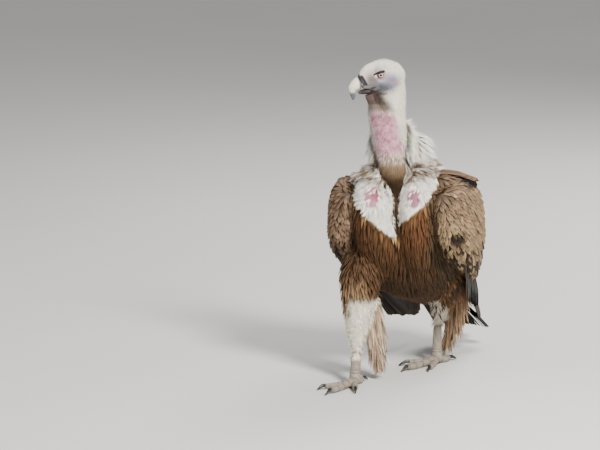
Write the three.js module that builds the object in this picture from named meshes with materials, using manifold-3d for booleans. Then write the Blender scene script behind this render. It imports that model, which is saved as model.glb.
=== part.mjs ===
// A griffon vulture (Gyps fulvus) at life size, walking, with its head turned to its right.
// Millimetres, +Z up. The bird faces -Y and its left side is +X. The floor is at Z = 0.
import * as THREE from "three";
import { mergeVertices } from "three/addons/utils/BufferGeometryUtils.js";
import Module from "manifold-3d";

const wasm = await Module();
wasm.setup();

// ---------------------------------------------------------------- driving sizes
const GAP = 0.3; // clearance that each piece keeps to the pieces before it
const HEAD_AT = { left: -28, ahead: 75, up: 712 }; // centre of the braincase
const HEAD_YAW = 60; // degrees, towards the bird's right
const HEAD_PITCH = 8; // degrees, bill down
const EYE_RADIUS = 10.5;
const EYE_AT = { side: 23, ahead: 24, up: 12 }; // in the head's own frame
const TAIL_FEATHERS = 8;
const TAIL_HALF_FAN = 9; // degrees, each way from the middle
const TAIL_TURN = 15; // degrees, towards the bird's left
const TAIL_DROP = 34; // degrees below level
const TAIL_LENGTH = 244;
const SECONDARIES = 5;
const PRIMARIES = 4;
const FEET = {
  right: { left: -95, ahead: 135, yaw: 22 },
  left: { left: 40, ahead: -145, yaw: 24 },
}; // the ball of each foot on the floor, and its turn to the bird's right
const SOLE_DEPTH = 1.2; // how much of each toe pad the floor flattens

// ---------------------------------------------------------------- points and solids
// A point from distances to the bird's left, ahead of it and up.
const at = (left, ahead, up) => new THREE.Vector3(left, -ahead, up);
const rad = THREE.MathUtils.degToRad;
const X_AXIS = new THREE.Vector3(1, 0, 0);

// A closed three.js geometry as a manifold-3d solid.
function solidOf(geometry) {
  const bare = new THREE.BufferGeometry();
  bare.setAttribute("position", geometry.getAttribute("position"));
  if (geometry.index) bare.setIndex(geometry.index);
  const merged = mergeVertices(bare, 1e-3);
  return new wasm.Manifold(
    new wasm.Mesh({
      numProp: 3,
      vertProperties: merged.attributes.position.array,
      triVerts: new Uint32Array(merged.index.array),
    }),
  );
}

function geometryOf(solid) {
  const mesh = solid.getMesh();
  return new THREE.BufferGeometry()
    .setAttribute(
      "position",
      new THREE.BufferAttribute(new Float32Array(mesh.vertProperties), 3),
    )
    .setIndex(new THREE.BufferAttribute(new Uint32Array(mesh.triVerts), 1));
}

// A closed body round a spine that runs downwards or backwards. Each station is
// [centre, half width along `side`, half depth on the ventral or upper side, half depth on the other].
// `grow` swells it evenly, which makes the tool that cuts its neighbour.
function loft({ stations, side = X_AXIS, sides = 16, rings = 12, square = 2, capRings = 2, caps = 0.7, grow = 0 }) {
  const spine = new THREE.CatmullRomCurve3(stations.map((s) => s[0]));
  const sizes = new THREE.CatmullRomCurve3(
    stations.map((s) => new THREE.Vector3(s[1], s[2], s[3])),
  );
  const points = [];
  const ring = (centre, across, deep, size, scale) => {
    for (let i = 0; i < sides; i++) {
      const angle = (2 * Math.PI * i) / sides;
      const c = Math.cos(angle);
      const s = Math.sin(angle);
      const round = (v) => Math.sign(v) * Math.abs(v) ** (2 / square);
      const half = s > 0 ? size.y : size.z;
      points.push(
        centre
          .clone()
          .addScaledVector(across, (size.x + grow) * scale * round(c))
          .addScaledVector(deep, (half + grow) * scale * round(s)),
      );
    }
  };
  const frames = [];
  for (let k = 0; k <= rings; k++) {
    const t = k / rings;
    const tangent = spine.getTangent(t);
    const across = side.clone().addScaledVector(tangent, -side.dot(tangent)).normalize();
    const size = sizes.getPoint(t);
    size.set(Math.max(size.x, 0.25), Math.max(size.y, 0.25), Math.max(size.z, 0.25));
    frames.push({ centre: spine.getPoint(t), tangent, across, size });
  }
  const cap = (frame, sign, steps) => {
    const long = caps * Math.min(frame.size.x, (frame.size.y + frame.size.z) / 2) + grow;
    for (const step of steps) {
      const turn = (Math.PI / 2) * (step / (capRings + 1));
      const centre = frame.centre.clone().addScaledVector(frame.tangent, sign * long * Math.sin(turn));
      const deep = frame.tangent.clone().cross(frame.across);
      ring(centre, frame.across, deep, frame.size, Math.cos(turn));
    }
    return frame.centre.clone().addScaledVector(frame.tangent, sign * long);
  };
  const steps = Array.from({ length: capRings }, (_, i) => i + 1);
  const firstPole = cap(frames[0], -1, [...steps].reverse());
  for (const f of frames) ring(f.centre, f.across, f.tangent.clone().cross(f.across), f.size, 1);
  const lastPole = cap(frames[rings], 1, steps);
  const loops = points.length / sides;
  const index = [];
  for (let k = 0; k < loops - 1; k++)
    for (let i = 0; i < sides; i++) {
      const a = k * sides + i;
      const b = k * sides + ((i + 1) % sides);
      index.push(a, a + sides, b, b, a + sides, b + sides);
    }
  const first = points.length;
  const last = first + 1;
  points.push(firstPole, lastPole);
  for (let i = 0; i < sides; i++) {
    const next = (i + 1) % sides;
    index.push(first, i, next);
    index.push(last, (loops - 1) * sides + next, (loops - 1) * sides + i);
  }
  const geometry = new THREE.BufferGeometry().setFromPoints(points).setIndex(index);
  const solid = solidOf(geometry);
  if (solid.volume() > 0) return solid;
  const flipped = [];
  for (let i = 0; i < index.length; i += 3) flipped.push(index[i], index[i + 2], index[i + 1]);
  return solidOf(geometry.setIndex(flipped));
}

function ball(centre, radius) {
  const geometry = new THREE.SphereGeometry(radius, 10, 7);
  return solidOf(geometry.translate(centre.x, centre.y, centre.z));
}

const join = (solids) => solids.reduce((a, b) => a.add(b));

// ---------------------------------------------------------------- the head's own frame
const headMatrix = new THREE.Matrix4()
  .makeTranslation(at(HEAD_AT.left, HEAD_AT.ahead, HEAD_AT.up))
  .multiply(new THREE.Matrix4().makeRotationZ(-rad(HEAD_YAW)))
  .multiply(new THREE.Matrix4().makeRotationX(rad(HEAD_PITCH)));
const onHead = (left, ahead, up) => at(left, ahead, up).applyMatrix4(headMatrix);
const headSide = X_AXIS.clone().transformDirection(headMatrix);

const skull = {
  sides: 14,
  rings: 6,
  side: headSide,
  capRings: 1,
  caps: 0.35,
  stations: [
    // occiput to the edge of the cere: half width, above, below
    [onHead(0, -28, -11), 20, 20, 26],
    [onHead(0, -18, -4), 30, 31, 37],
    [onHead(0, -3, 0), 35.5, 42, 44],
    [onHead(0, 16, 0), 35, 43.5, 42],
    [onHead(0, 35, 0), 29.5, 41.5, 38],
    [onHead(0, 50, -2), 21.5, 38, 33],
    [onHead(0, 60, -4), 14.5, 31, 27],
    [onHead(0, 66, -6), 11, 23, 22],
  ],
};
const throat = {
  sides: 11,
  rings: 4,
  capRings: 1,
  side: headSide,
  stations: [
    // loose skin from the chin down to the front of the neck
    [onHead(0, 53, -31), 10, 13, 15],
    [onHead(0, 46, -42), 14, 17, 17],
    [onHead(0, 38, -58), 22, 19, 20],
    [onHead(0, 35, -80), 29, 22, 22],
  ],
};
const cere = {
  sides: 10,
  rings: 2,
  side: headSide,
  capRings: 1,
  caps: 0.2,
  stations: [
    [onHead(0, 55, -4), 14.5, 18, 14],
    [onHead(0, 65, -4), 13, 17.5, 13.5],
    [onHead(0, 73, -5), 11.8, 17.5, 13],
  ],
};
const billUpper = {
  sides: 10,
  rings: 7,
  side: headSide,
  capRings: 1,
  caps: 0.5,
  stations: [
    // the edge of the cere, over the culmen and down to the hook's tip
    [onHead(0, 72, -5), 11.8, 17.5, 13],
    [onHead(0, 80, -6.5), 11.2, 15.5, 12.5],
    [onHead(0, 87, -11), 9.8, 12.5, 12],
    [onHead(0, 90, -20), 7.4, 8, 10],
    [onHead(0, 90, -30), 4.6, 5.5, 6.5],
    [onHead(0, 91, -38), 1.8, 2, 2.4],
  ],
};
const billLower = {
  sides: 10,
  rings: 4,
  side: headSide,
  capRings: 1,
  caps: 0.6,
  stations: [
    [onHead(0, 50, -25), 11.5, 7, 7],
    [onHead(0, 61, -24.5), 9.8, 6, 6],
    [onHead(0, 68, -24), 8.2, 5, 5.4],
    [onHead(0, 74, -24), 5.6, 3.6, 4.4],
  ],
};
const eyeCentre = (side) => onHead(side * EYE_AT.side, EYE_AT.ahead, EYE_AT.up);

// ---------------------------------------------------------------- neck, ruff and trunk
const neck = {
  sides: 12,
  rings: 6,
  capRings: 1,
  stations: [
    [at(-30, 73, 702), 41, 38, 38],
    [at(-33, 68, 660), 45, 42, 42],
    [at(-35, 66, 620), 45, 42, 42],
    [at(-28, 67, 580), 43, 42, 46],
    [at(-18, 74, 525), 40, 41, 60],
    [at(-8, 76, 488), 33, 37, 66],
    [at(-4, 76, 462), 24, 30, 60],
  ],
};
const ruff = {
  sides: 13,
  rings: 4,
  capRings: 1,
  caps: 0.35,
  stations: [
    // a thick collar of down, open at the throat and highest behind the neck
    [at(2, 24, 596), 52, 24, 38],
    [at(-6, 32, 570), 78, 40, 54],
    [at(-12, 40, 538), 90, 50, 64],
    [at(-10, 44, 503), 88, 50, 68],
    [at(-6, 46, 468), 80, 50, 70],
  ],
};
const trunk = {
  sides: 16,
  rings: 7,
  capRings: 1,
  square: 2.15,
  stations: [
    // base of the neck to the root of the tail: half width, breast side, back side
    [at(0, 34, 492), 88, 60, 66],
    [at(0, 22, 438), 122, 82, 98],
    [at(0, -2, 368), 132, 102, 128],
    [at(0, -40, 300), 132, 112, 134],
    [at(0, -96, 248), 120, 96, 114],
    [at(0, -158, 204), 94, 66, 80],
    [at(0, -212, 168), 64, 40, 50],
    [at(0, -250, 140), 44, 24, 30],
  ],
};
// The two lobes of the breast, on each side of the line of the crop. The wing covers more of the left one.
const BREAST_REACH = { left: 44, right: 54 };
const breastLobe = (side, reach) => ({
  sides: 12,
  rings: 5,
  capRings: 1,
  stations: [
    [at(side * (reach - 4), 78, 484), reach - 16, 24, 30],
    [at(side * reach, 84, 450), reach - 2, 40, 50],
    [at(side * reach, 82, 400), reach + 4, 48, 60],
    [at(side * reach, 68, 345), reach + 4, 47, 60],
    [at(side * (reach - 4), 42, 286), reach - 6, 36, 50],
  ],
});
// The shoulder feathers, which lie over the joint of wing and back.
const scapulars = (side) => ({
  sides: 8,
  rings: 4,
  capRings: 1,
  stations: [
    [at(side * 86, 52, 466), 34, 20, 22],
    [at(side * 98, 8, 446), 46, 34, 42],
    [at(side * 94, -70, 386), 44, 34, 44],
    [at(side * 78, -150, 308), 34, 26, 32],
    [at(side * 58, -205, 250), 18, 12, 16],
  ],
});

// ---------------------------------------------------------------- wings
const WINGS = {
  // the folded wing's own plan: left, ahead, up, half thickness, below, above
  left: [
    [98, 98, 430, 26, 44, 26],
    [115, 70, 416, 39, 98, 56],
    [126, 8, 390, 42, 120, 96],
    [128, -70, 340, 38, 112, 108],
    [122, -150, 278, 30, 84, 92],
    [110, -215, 222, 20, 50, 58],
  ],
  right: [
    [-120, 88, 424, 24, 44, 26],
    [-138, 62, 412, 35, 98, 56],
    [-148, 8, 386, 38, 116, 90],
    [-146, -70, 336, 35, 108, 102],
    [-128, -150, 272, 27, 82, 86],
    [-106, -215, 218, 19, 50, 56],
  ],
};
const wingCoverts = (name) => ({
  sides: 12,
  rings: 5,
  square: 2.3,
  stations: WINGS[name].map(([left, ahead, up, thick, below, above]) => [
    at(left, ahead, up),
    thick,
    below,
    above,
  ]),
});

// One feather as a thin blade from root to tip, lying flat against `out`.
function blade({ root, tip, out, half, sag = 0, thick = 2.2 }) {
  const along = tip.clone().sub(root);
  const side = along.clone().cross(out).normalize();
  const bend = out.clone().normalize().multiplyScalar(sag);
  const shape = [
    [0, 0.5],
    [0.4, 0.9],
    [0.85, 0.95],
    [1, 0.4],
  ];
  return {
    sides: 5,
    rings: 2,
    side,
    capRings: 0,
    caps: 0.8,
    stations: shape.map(([t, wide]) => [
      root
        .clone()
        .addScaledVector(along, t)
        .addScaledVector(bend, Math.sin(Math.PI * t)),
      half * wide,
      thick * (1.4 - 0.9 * t),
      thick * (1.4 - 0.9 * t),
    ]),
  };
}

const mix = THREE.MathUtils.lerp;
const mixPoints = (a, b, t) => a.clone().lerp(b, t);

// A row of blades between two root points and two tip points, each lying a little further out than the last.
function feathers({ count, roots, tips, out, halves, sag, thick, sweep = 0, stack }) {
  return Array.from({ length: count }, (_, k) => {
    const t = k / (count - 1);
    const lift = out.clone().normalize().multiplyScalar(stack * k);
    const root = mixPoints(...roots, t).add(lift);
    const tip = mixPoints(...tips, t).add(lift);
    tip.z -= sweep * Math.sin(Math.PI * t);
    return blade({ root, tip, out, half: mix(...halves, t), sag, thick });
  });
}

function secondaries(name) {
  const s = name === "left" ? 1 : -1;
  return feathers({
    count: SECONDARIES,
    roots: [at(s * 128, 20, 330), at(s * 108, -200, 215)],
    tips: [at(s * 130, -62, 176), at(s * 96, -335, 112)],
    out: at(s, 0, 0.25),
    halves: [38, 36],
    sag: 8,
    thick: 2.8,
    sweep: 12,
    stack: 0.9,
  });
}

function primaries(name) {
  const s = name === "left" ? 1 : -1;
  const tipReach = name === "left" ? 84 : 62;
  return feathers({
    count: PRIMARIES,
    roots: [at(s * 110, -120, 212), at(s * 98, -190, 194)],
    tips: [at(s * 104, -326, 86), at(s * tipReach, -450, 62)],
    out: at(s, 0, 0.3),
    halves: [24, 20],
    sag: 5,
    thick: 2.8,
    stack: 1.4,
  });
}

// The middle pair lies on top, and each feather outwards lies under its neighbour.
function tailFeathers() {
  const blades = [];
  const root = at(6, -214, 178);
  for (let k = 0; k < TAIL_FEATHERS; k++) {
    const t = (2 * k) / (TAIL_FEATHERS - 1) - 1;
    const turn = rad(TAIL_TURN + TAIL_HALF_FAN * t);
    const flat = Math.cos(rad(TAIL_DROP));
    const reach = TAIL_LENGTH * (1 - 0.1 * t * t);
    const start = root.clone().add(at(25 * t, 0, -9 * Math.abs(t)));
    const tip = start
      .clone()
      .add(at(reach * Math.sin(turn), -reach * Math.cos(turn) * flat, 0))
      .add(at(0, 0, -reach * Math.sin(rad(TAIL_DROP)) - 2 * Math.abs(t)));
    blades.push(blade({ root: start, tip, out: at(0.3 * t, 0.5, 1), half: 18, sag: 7, thick: 2.8 }));
  }
  return blades;
}

// ---------------------------------------------------------------- legs
const LEGS = {
  right: {
    thigh: [
      [at(-86, 6, 316), 52, 60, 66],
      [at(-98, 42, 264), 55, 54, 64],
      [at(-102, 60, 212), 48, 44, 52],
      [at(-103, 64, 168), 38, 34, 42],
      [at(-104, 66, 128), 31, 28, 34],
      [at(-101, 84, 92), 22, 21, 24],
      [at(-98, 100, 66), 15, 15, 16],
    ],
    shank: [
      [at(-98, 97, 74), 12.5, 12, 13],
      [at(-97, 112, 48), 11.5, 11.5, 12],
      [at(-96, 127, 24), 13, 13, 13],
      [at(-95, 134, 12), 15, 13, 12],
    ],
    plume: [
      [at(-84, 24, 190), 26, 17, 17],
      [at(-72, 34, 120), 24, 14, 14],
      [at(-60, 46, 60), 16, 9, 9],
      [at(-50, 56, 20), 4, 3, 3],
    ],
  },
  left: {
    thigh: [
      [at(74, -36, 300), 56, 62, 66],
      [at(84, -62, 246), 55, 54, 58],
      [at(74, -110, 192), 42, 40, 44],
      [at(50, -154, 148), 28, 26, 32],
      [at(40, -168, 118), 21, 20, 23],
      [at(37, -165, 96), 16, 15, 16],
    ],
    shank: [
      [at(38, -167, 106), 11.5, 11.5, 12.5],
      [at(38, -161, 72), 10.5, 10.5, 11],
      [at(39, -152, 34), 11.5, 11.5, 11.5],
      [at(40, -145, 12), 15, 13, 12],
    ],
    plume: [
      [at(90, -128, 196), 28, 15, 15],
      [at(82, -172, 132), 24, 12, 12],
      [at(64, -188, 82), 15, 8, 8],
      [at(52, -194, 42), 3.5, 3, 3],
    ],
  },
};
// Each toe: its turn from the foot's own heading, the length of its fleshy part, and its half width.
const TOES = [
  { name: "hallux", turn: 172, long: 42, half: 8, claw: 27, start: 15 },
  { name: "inner", turn: -36, long: 66, half: 8.4, claw: 30, start: 15 },
  { name: "middle", turn: -4, long: 104, half: 8.6, claw: 27, start: 15 },
  { name: "outer", turn: 24, long: 78, half: 7.6, claw: 24, start: 15 },
];

// The heading of a toe on the floor, turned to the bird's right by `degrees`.
const heading = (degrees) => at(-Math.sin(rad(degrees)), Math.cos(rad(degrees)), 0);

function toeParts(name, toe) {
  const foot = FEET[name];
  const inward = name === "left" ? 1 : -1;
  const degrees = foot.yaw + inward * -toe.turn;
  const way = heading(degrees);
  const side = new THREE.Vector3(0, 0, 1).cross(way);
  const ballOfFoot = at(foot.left, foot.ahead, 0);
  const along = (distance, up) => ballOfFoot.clone().addScaledVector(way, distance).setZ(up);
  const h = toe.half;
  const rise = h - SOLE_DEPTH;
  const toeBody = {
    sides: 7,
    rings: 3,
    side,
    capRings: 1,
    caps: 0.7,
    stations: [
      [along(toe.start, rise + 4), h * 1.05, h * 1.15, h * 1.5],
      [along(toe.long * 0.4, rise + 1.5), h * 0.98, h * 1.05, h],
      [along(toe.long * 0.75, rise), h * 0.92, h * 0.95, h],
      [along(toe.long, rise + 2), h * 0.7, h * 0.8, h * 0.8],
    ],
  };
  const reach = toe.long + toe.claw;
  const clawBody = {
    sides: 6,
    rings: 3,
    side,
    capRings: 0,
    caps: 0.6,
    stations: [
      [along(toe.long - 1, rise + 3), 4.4, 5.2, 5],
      [along(toe.long + toe.claw * 0.35, rise + 3.6), 3.8, 4.4, 4.2],
      [along(toe.long + toe.claw * 0.7, rise - 0.6), 2.8, 3, 3],
      [along(reach - 2, rise * 0.35), 1.2, 1.2, 1.2],
    ],
  };
  return { toeBody, clawBody };
}

// ---------------------------------------------------------------- pieces, in the order that they are cut
const COLOURS = {
  down: ["#e9e4da", 0.95],
  face: ["#b9b3b8", 0.8],
  horn: ["#cfcdbf", 0.45],
  dark: ["#4a4650", 0.5],
  eye: ["#c9a58c", 0.1],
  brown: ["#6e5138", 0.9],
  tan: ["#9c7f5f", 0.9],
  quill: ["#2b241f", 0.75],
  leg: ["#a49788", 0.7],
  claw: ["#39352f", 0.4],
};
const FLOOR_CUT = solidOf(new THREE.BoxGeometry(2000, 2000, 200).translate(0, 0, -100));

const pieces = [];
// A piece is a function of the growth, so that the same shape also cuts what comes after it.
const piece = (name, colour, shape, floor = false) => pieces.push({ name, colour, shape, floor });
const grown = (...specs) => (grow) => join(specs.map((spec) => loft({ ...spec, grow })));

for (const [name, side] of [["left", 1], ["right", -1]])
  piece(`eye_${name}`, "eye", (grow) => ball(eyeCentre(side), EYE_RADIUS + grow));
piece("bill_upper", "horn", grown(billUpper));
piece("cere", "dark", grown(cere));
piece("bill_lower", "dark", grown(billLower));
piece("head", "face", grown(skull, throat));
piece("trunk", "brown", grown(trunk));
piece("neck", "down", grown(neck));
piece("ruff", "down", grown(ruff));
piece("breast_left", "brown", grown(breastLobe(1, BREAST_REACH.left)));
piece("breast_right", "brown", grown(breastLobe(-1, BREAST_REACH.right)));
for (const name of ["left", "right"]) {
  const leg = LEGS[name];
  piece(`shank_${name}`, "leg", grown({ stations: leg.shank, sides: 8, rings: 4, capRings: 1 }), true);
  for (const toe of TOES) {
    const { toeBody, clawBody } = toeParts(name, toe);
    piece(`toe_${toe.name}_${name}`, "leg", grown(toeBody), true);
    piece(`claw_${toe.name}_${name}`, "claw", grown(clawBody), true);
  }
  piece(`thigh_${name}`, "tan", grown({ stations: leg.thigh, sides: 10, rings: 4, capRings: 1 }));
  piece(`plume_${name}`, "tan", grown({ stations: leg.plume, sides: 8, rings: 4, capRings: 1 }));
}
for (const [name, side] of [["left", 1], ["right", -1]])
  piece(`scapulars_${name}`, "tan", grown(scapulars(side)));
for (const name of ["left", "right"]) {
  piece(`wing_${name}_coverts`, "tan", grown(wingCoverts(name)));
  piece(`wing_${name}_flight`, "quill", grown(...secondaries(name), ...primaries(name)));
}
piece("tail", "quill", grown(...tailFeathers()));

const overlaps = (a, b) => {
  const [p, q] = [a.boundingBox(), b.boundingBox()];
  return [0, 1, 2].every((i) => p.min[i] < q.max[i] && q.min[i] < p.max[i]);
};
// The largest of the bodies that a cut leaves.
const largest = (solid) =>
  solid.decompose().reduce((a, b) => (a.volume() > b.volume() ? a : b));

const bird = new THREE.Group();
bird.name = "griffon_vulture";
const cutters = [];
for (const { name, colour, shape, floor } of pieces) {
  let solid = shape(0);
  for (const cutter of cutters) if (overlaps(solid, cutter)) solid = solid.subtract(cutter);
  if (floor) solid = solid.subtract(FLOOR_CUT);
  cutters.push(shape(GAP));
  const [hex, roughness] = COLOURS[colour];
  const material = new THREE.MeshStandardMaterial({ color: hex, roughness, metalness: 0 });
  const mesh = new THREE.Mesh(geometryOf(largest(solid)), material);
  mesh.name = name;
  bird.add(mesh);
}

// The origin is on the floor, under the middle of the bird's box.
const box = new THREE.Box3().setFromObject(bird);
const centre = box.getCenter(new THREE.Vector3());
bird.position.set(-centre.x, -centre.y, 0);

export default bird;
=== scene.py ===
"""A griffon vulture at life size: one skin, coat of feather vanes, horn, eyes, studio light and camera."""

import math

import bmesh
import bpy
import numpy as np
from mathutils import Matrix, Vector
from mathutils.bvhtree import BVHTree


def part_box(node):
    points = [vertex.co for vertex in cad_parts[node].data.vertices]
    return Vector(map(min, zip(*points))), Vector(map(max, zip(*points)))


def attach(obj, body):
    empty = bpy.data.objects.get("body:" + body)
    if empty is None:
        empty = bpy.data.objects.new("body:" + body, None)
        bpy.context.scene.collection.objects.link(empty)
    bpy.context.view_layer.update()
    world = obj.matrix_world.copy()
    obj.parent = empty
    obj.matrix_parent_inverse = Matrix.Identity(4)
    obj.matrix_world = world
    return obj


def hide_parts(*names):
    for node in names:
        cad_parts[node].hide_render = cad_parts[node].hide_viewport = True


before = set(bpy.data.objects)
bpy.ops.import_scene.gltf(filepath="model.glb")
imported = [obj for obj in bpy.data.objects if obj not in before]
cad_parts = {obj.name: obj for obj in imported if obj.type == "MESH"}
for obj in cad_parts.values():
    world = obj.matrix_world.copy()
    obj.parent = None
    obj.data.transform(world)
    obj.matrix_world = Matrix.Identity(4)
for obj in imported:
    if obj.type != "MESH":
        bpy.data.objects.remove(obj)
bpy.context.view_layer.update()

# ---------------------------------------------------------------- the bird's own measures, in mm

MM = 0.001
HEAD_AT = np.array([-28.0, -75.0, 712.0])  # centre of the braincase: left, behind, up
HEAD_YAW = math.radians(-60)  # bill turned to the bird's right
HEAD_PITCH = math.radians(8)  # bill down
EYE = np.array([23.0, 24.0, 12.0])  # centre of the left eyeball on the head: left, ahead, up
EYE_RADIUS = 10.5
EYE_TOE_OUT = math.radians(17)  # how far an eye looks ahead of sideways
IRIS_RADIUS = 5.3
PUPIL_RADIUS = 2.9

SIGNS = {"left": 1, "right": -1}  # which way each side lies along the axis left
SIDES = tuple(SIGNS)
TOES = ("hallux", "inner", "middle", "outer")
SKIN_VOXEL = 3.2
HORN_VOXEL = 0.8
SKIN_GROW = 0.3  # how far nodes are grown before they are remeshed, to close the gaps between them
HORN_GROW = 0.15
WELD = 0.02  # points of a node nearer than this are one point
HEAD_ZONE = 85  # distance from the middle of the braincase within which the skin has finer faces
HEAD_ZONE_LOW = -75  # the lowest place of that zone, on the head
FEET_ZONE = 85  # height below which the skin has finer faces
EYE_ZONES = (14, 9.5)  # distances from an eye's axis within which they are finer still
RELAXED_ABOVE = 500  # height above which the finer faces are smoothed
SKIN_OFF_FLOOR = 0.2
HORN_OFF_FLOOR = 0.1

# How far the skin lies under the tips of the coat, by part of the body.
COAT_DEPTH = {
    "head": 1.6, "cere": 0.0, "neck": 3.0, "ruff": 20.0, "breast": 9.0, "trunk": 10.0,
    "scapulars": 8.0, "wing": 7.0, "thigh": 8.0, "plume": 3.5, "shank": 0.0, "toe": 0.0, "eye": 0.6,
}

rng = np.random.default_rng(7)


def turn(axis, angle):
    """A 3 by 3 rotation about one of the axes."""
    c, s = math.cos(angle), math.sin(angle)
    i, j = [(1, 2), (2, 0), (0, 1)][axis]
    made = np.eye(3)
    made[i, i] = made[j, j] = c
    made[i, j], made[j, i] = -s, s
    return made


HEAD_TURN = turn(2, HEAD_YAW) @ turn(0, HEAD_PITCH)


def on_head(left, ahead, up):
    """A point of the head in the bird's own axes, in mm."""
    return HEAD_AT + HEAD_TURN @ np.array([left, -ahead, up])


def frame_shift():
    """Where the bird's own origin lies in the frame, from the middle of its left eye."""
    low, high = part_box("eye_left")
    return (np.array(low) + np.array(high)) / 2 / MM - on_head(*EYE)


SHIFT = frame_shift()


def at(left, ahead, up):
    """A place on the bird in mm as a point of the frame in metres."""
    return (np.array([left, -ahead, up], float) + SHIFT) * MM


def way(left, ahead, up):
    """A direction on the bird as a unit vector of the frame."""
    made = np.array([left, -ahead, up], float)
    return made / np.linalg.norm(made)


def to_bird(points):
    """Frame points in metres as left, ahead and up in mm."""
    made = points / MM - SHIFT
    return made[:, 0], -made[:, 1], made[:, 2]


def to_head(points):
    """Frame points in metres as left, ahead and up on the head in mm."""
    made = (points / MM - SHIFT - HEAD_AT) @ HEAD_TURN
    return made[:, 0], -made[:, 1], made[:, 2]


def from_head(left, ahead, up):
    """Places on the head in mm as points of the frame in metres."""
    made = np.stack([left, -ahead, up], 1) @ HEAD_TURN.T
    return (made + HEAD_AT + SHIFT) * MM


# ---------------------------------------------------------------- small helpers


def ease(x, low, high):
    """0 below low, 1 above high, and smooth between; low may be the larger."""
    t = np.clip((x - low) / (high - low), 0, 1)
    return t * t * (3 - 2 * t)


def unit(v):
    """Vectors at the length 1."""
    return v / np.maximum(np.linalg.norm(v, axis=-1, keepdims=True), 1e-12)


def mix(a, b, t):
    """From a where t is 0 to b where t is 1."""
    a = np.asarray(a)
    return a + (np.asarray(b) - a) * np.asarray(t)[..., None]


def painted(colour, *layers):
    """A colour under layers, each a colour and how much of it shows at each point."""
    for over, share in layers:
        colour = mix(colour, over, share)
    return colour


def hill(x, middle, width):
    """1 at the middle, falling to 0 on both sides."""
    return np.exp(-((x - middle) / width) ** 2)


def waves(points, size, seed=0):
    """Smooth noise from -1 to 1 with features of about that size in mm."""
    draw = np.random.default_rng(seed)
    total = np.zeros(len(points))
    for _ in range(7):
        k = draw.normal(size=3)
        k *= 2 * math.pi / (size * MM * np.linalg.norm(k) * draw.uniform(1.2, 2.6))
        total += np.sin(points @ k + draw.uniform(0, 7) + 1.3 * np.sin(points @ k[[1, 2, 0]] * 1.4))
    return total / 4


def inside(x, y, corners, soft):
    """1 within a polygon, 0 outside, and smooth over the distance soft around its edge."""
    corners = np.array(corners, float)
    nearest = np.full(len(x), 1e9)
    crossings = np.zeros(len(x), bool)
    p = np.stack([x, y], 1)
    for a, b in zip(corners, np.roll(corners, -1, axis=0)):
        edge = b - a
        t = np.clip((p - a) @ edge / (edge @ edge), 0, 1)
        nearest = np.minimum(nearest, np.linalg.norm(p - a - t[:, None] * edge, axis=1))
        if a[1] != b[1]:
            crosses = (a[1] > y) != (b[1] > y)
            crossings ^= crosses & (x < a[0] + (y - a[1]) * edge[0] / edge[1])
    signed = np.where(crossings, nearest, -nearest)
    return ease(signed, -soft, soft)


def blob(x, y, middle, radii, soft=0.35):
    """1 within an ellipse and 0 outside it."""
    r = np.hypot((x - middle[0]) / radii[0], (y - middle[1]) / radii[1])
    return ease(r, 1 + soft, 1 - soft)


# ---------------------------------------------------------------- meshes as arrays


def read(items, name, width, kind=np.float32):
    """One value of every item of a mesh, as rows of that width."""
    made = np.empty(len(items) * width, kind)
    items.foreach_get(name, made)
    return made.reshape(-1, width)


def verts_of(mesh):
    return read(mesh.vertices, "co", 3).astype(float)


def normals_of(mesh):
    return read(mesh.vertex_normals, "vector", 3).astype(float)


def edges_of(mesh):
    return read(mesh.edges, "vertices", 2, np.int32)


def triangles_of(mesh):
    mesh.calc_loop_triangles()
    return read(mesh.loop_triangles, "vertices", 3, np.int32)


def set_verts(mesh, points):
    mesh.vertices.foreach_set("co", points.astype(np.float32).ravel())
    mesh.update()


def relax(values, edges, weight, rounds, step=0.5):
    """Averages values with their neighbours along the edges, a share of the way at each round."""
    total = len(values)
    a, b = edges.T
    count = np.maximum(np.bincount(edges.ravel(), minlength=total), 1)[:, None]
    made = values.reshape(total, -1).astype(float)
    weight = np.broadcast_to(weight, (total,))[:, None] * step
    for _ in range(rounds):
        sums = [np.bincount(a, column[b], total) + np.bincount(b, column[a], total) for column in made.T]
        made += weight * (np.stack(sums, 1) / count - made)
    return made.reshape(values.shape)


STEP_IN, STEP_OUT = 0.6, -0.62


def smoothed(points, edges, weight, rounds):
    """Smooths without shrinking: each step in is followed by one out."""
    for _ in range(rounds):
        for step in (STEP_IN, STEP_OUT):
            points = relax(points, edges, weight, 1, step)
    return points


def placed(name, data):
    """A new object in the scene that holds a mesh, camera or light."""
    made = bpy.data.objects.new(name, data)
    bpy.context.scene.collection.objects.link(made)
    return made


def add_object(name, mesh, material):
    """A smooth object of one material."""
    mesh.materials.append(material)
    mesh.polygons.foreach_set("use_smooth", np.ones(len(mesh.polygons), bool))
    return placed(name, mesh)


def set_attribute(mesh, name, values):
    """A value or a colour for each vertex."""
    if values.ndim == 1:
        layer = mesh.attributes.new(name, "FLOAT", "POINT")
        layer.data.foreach_set("value", values.astype(np.float32))
        return
    layer = mesh.attributes.new(name, "FLOAT_COLOR", "POINT")
    rgba = np.ones((len(values), 4), np.float32)
    rgba[:, :3] = np.clip(values, 0, 1)
    layer.data.foreach_set("color", rgba.ravel())


def joined_nodes(names, grow):
    """The named CAD nodes as one bmesh, each moved out by grow metres, with the node of each face."""
    whole = bmesh.new()
    owner = []
    for i, name in enumerate(names):
        part = bmesh.new()
        part.from_mesh(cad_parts[name].data)
        bmesh.ops.remove_doubles(part, verts=part.verts, dist=WELD * MM)
        part.normal_update()
        for v in part.verts:
            v.co += v.normal * grow
        shell = bpy.data.meshes.new(name + "_shell")
        part.to_mesh(shell)
        part.free()
        whole.from_mesh(shell)
        bpy.data.meshes.remove(shell)
        owner += [i] * (len(whole.faces) - len(owner))
    return whole, np.array(owner)


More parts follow.
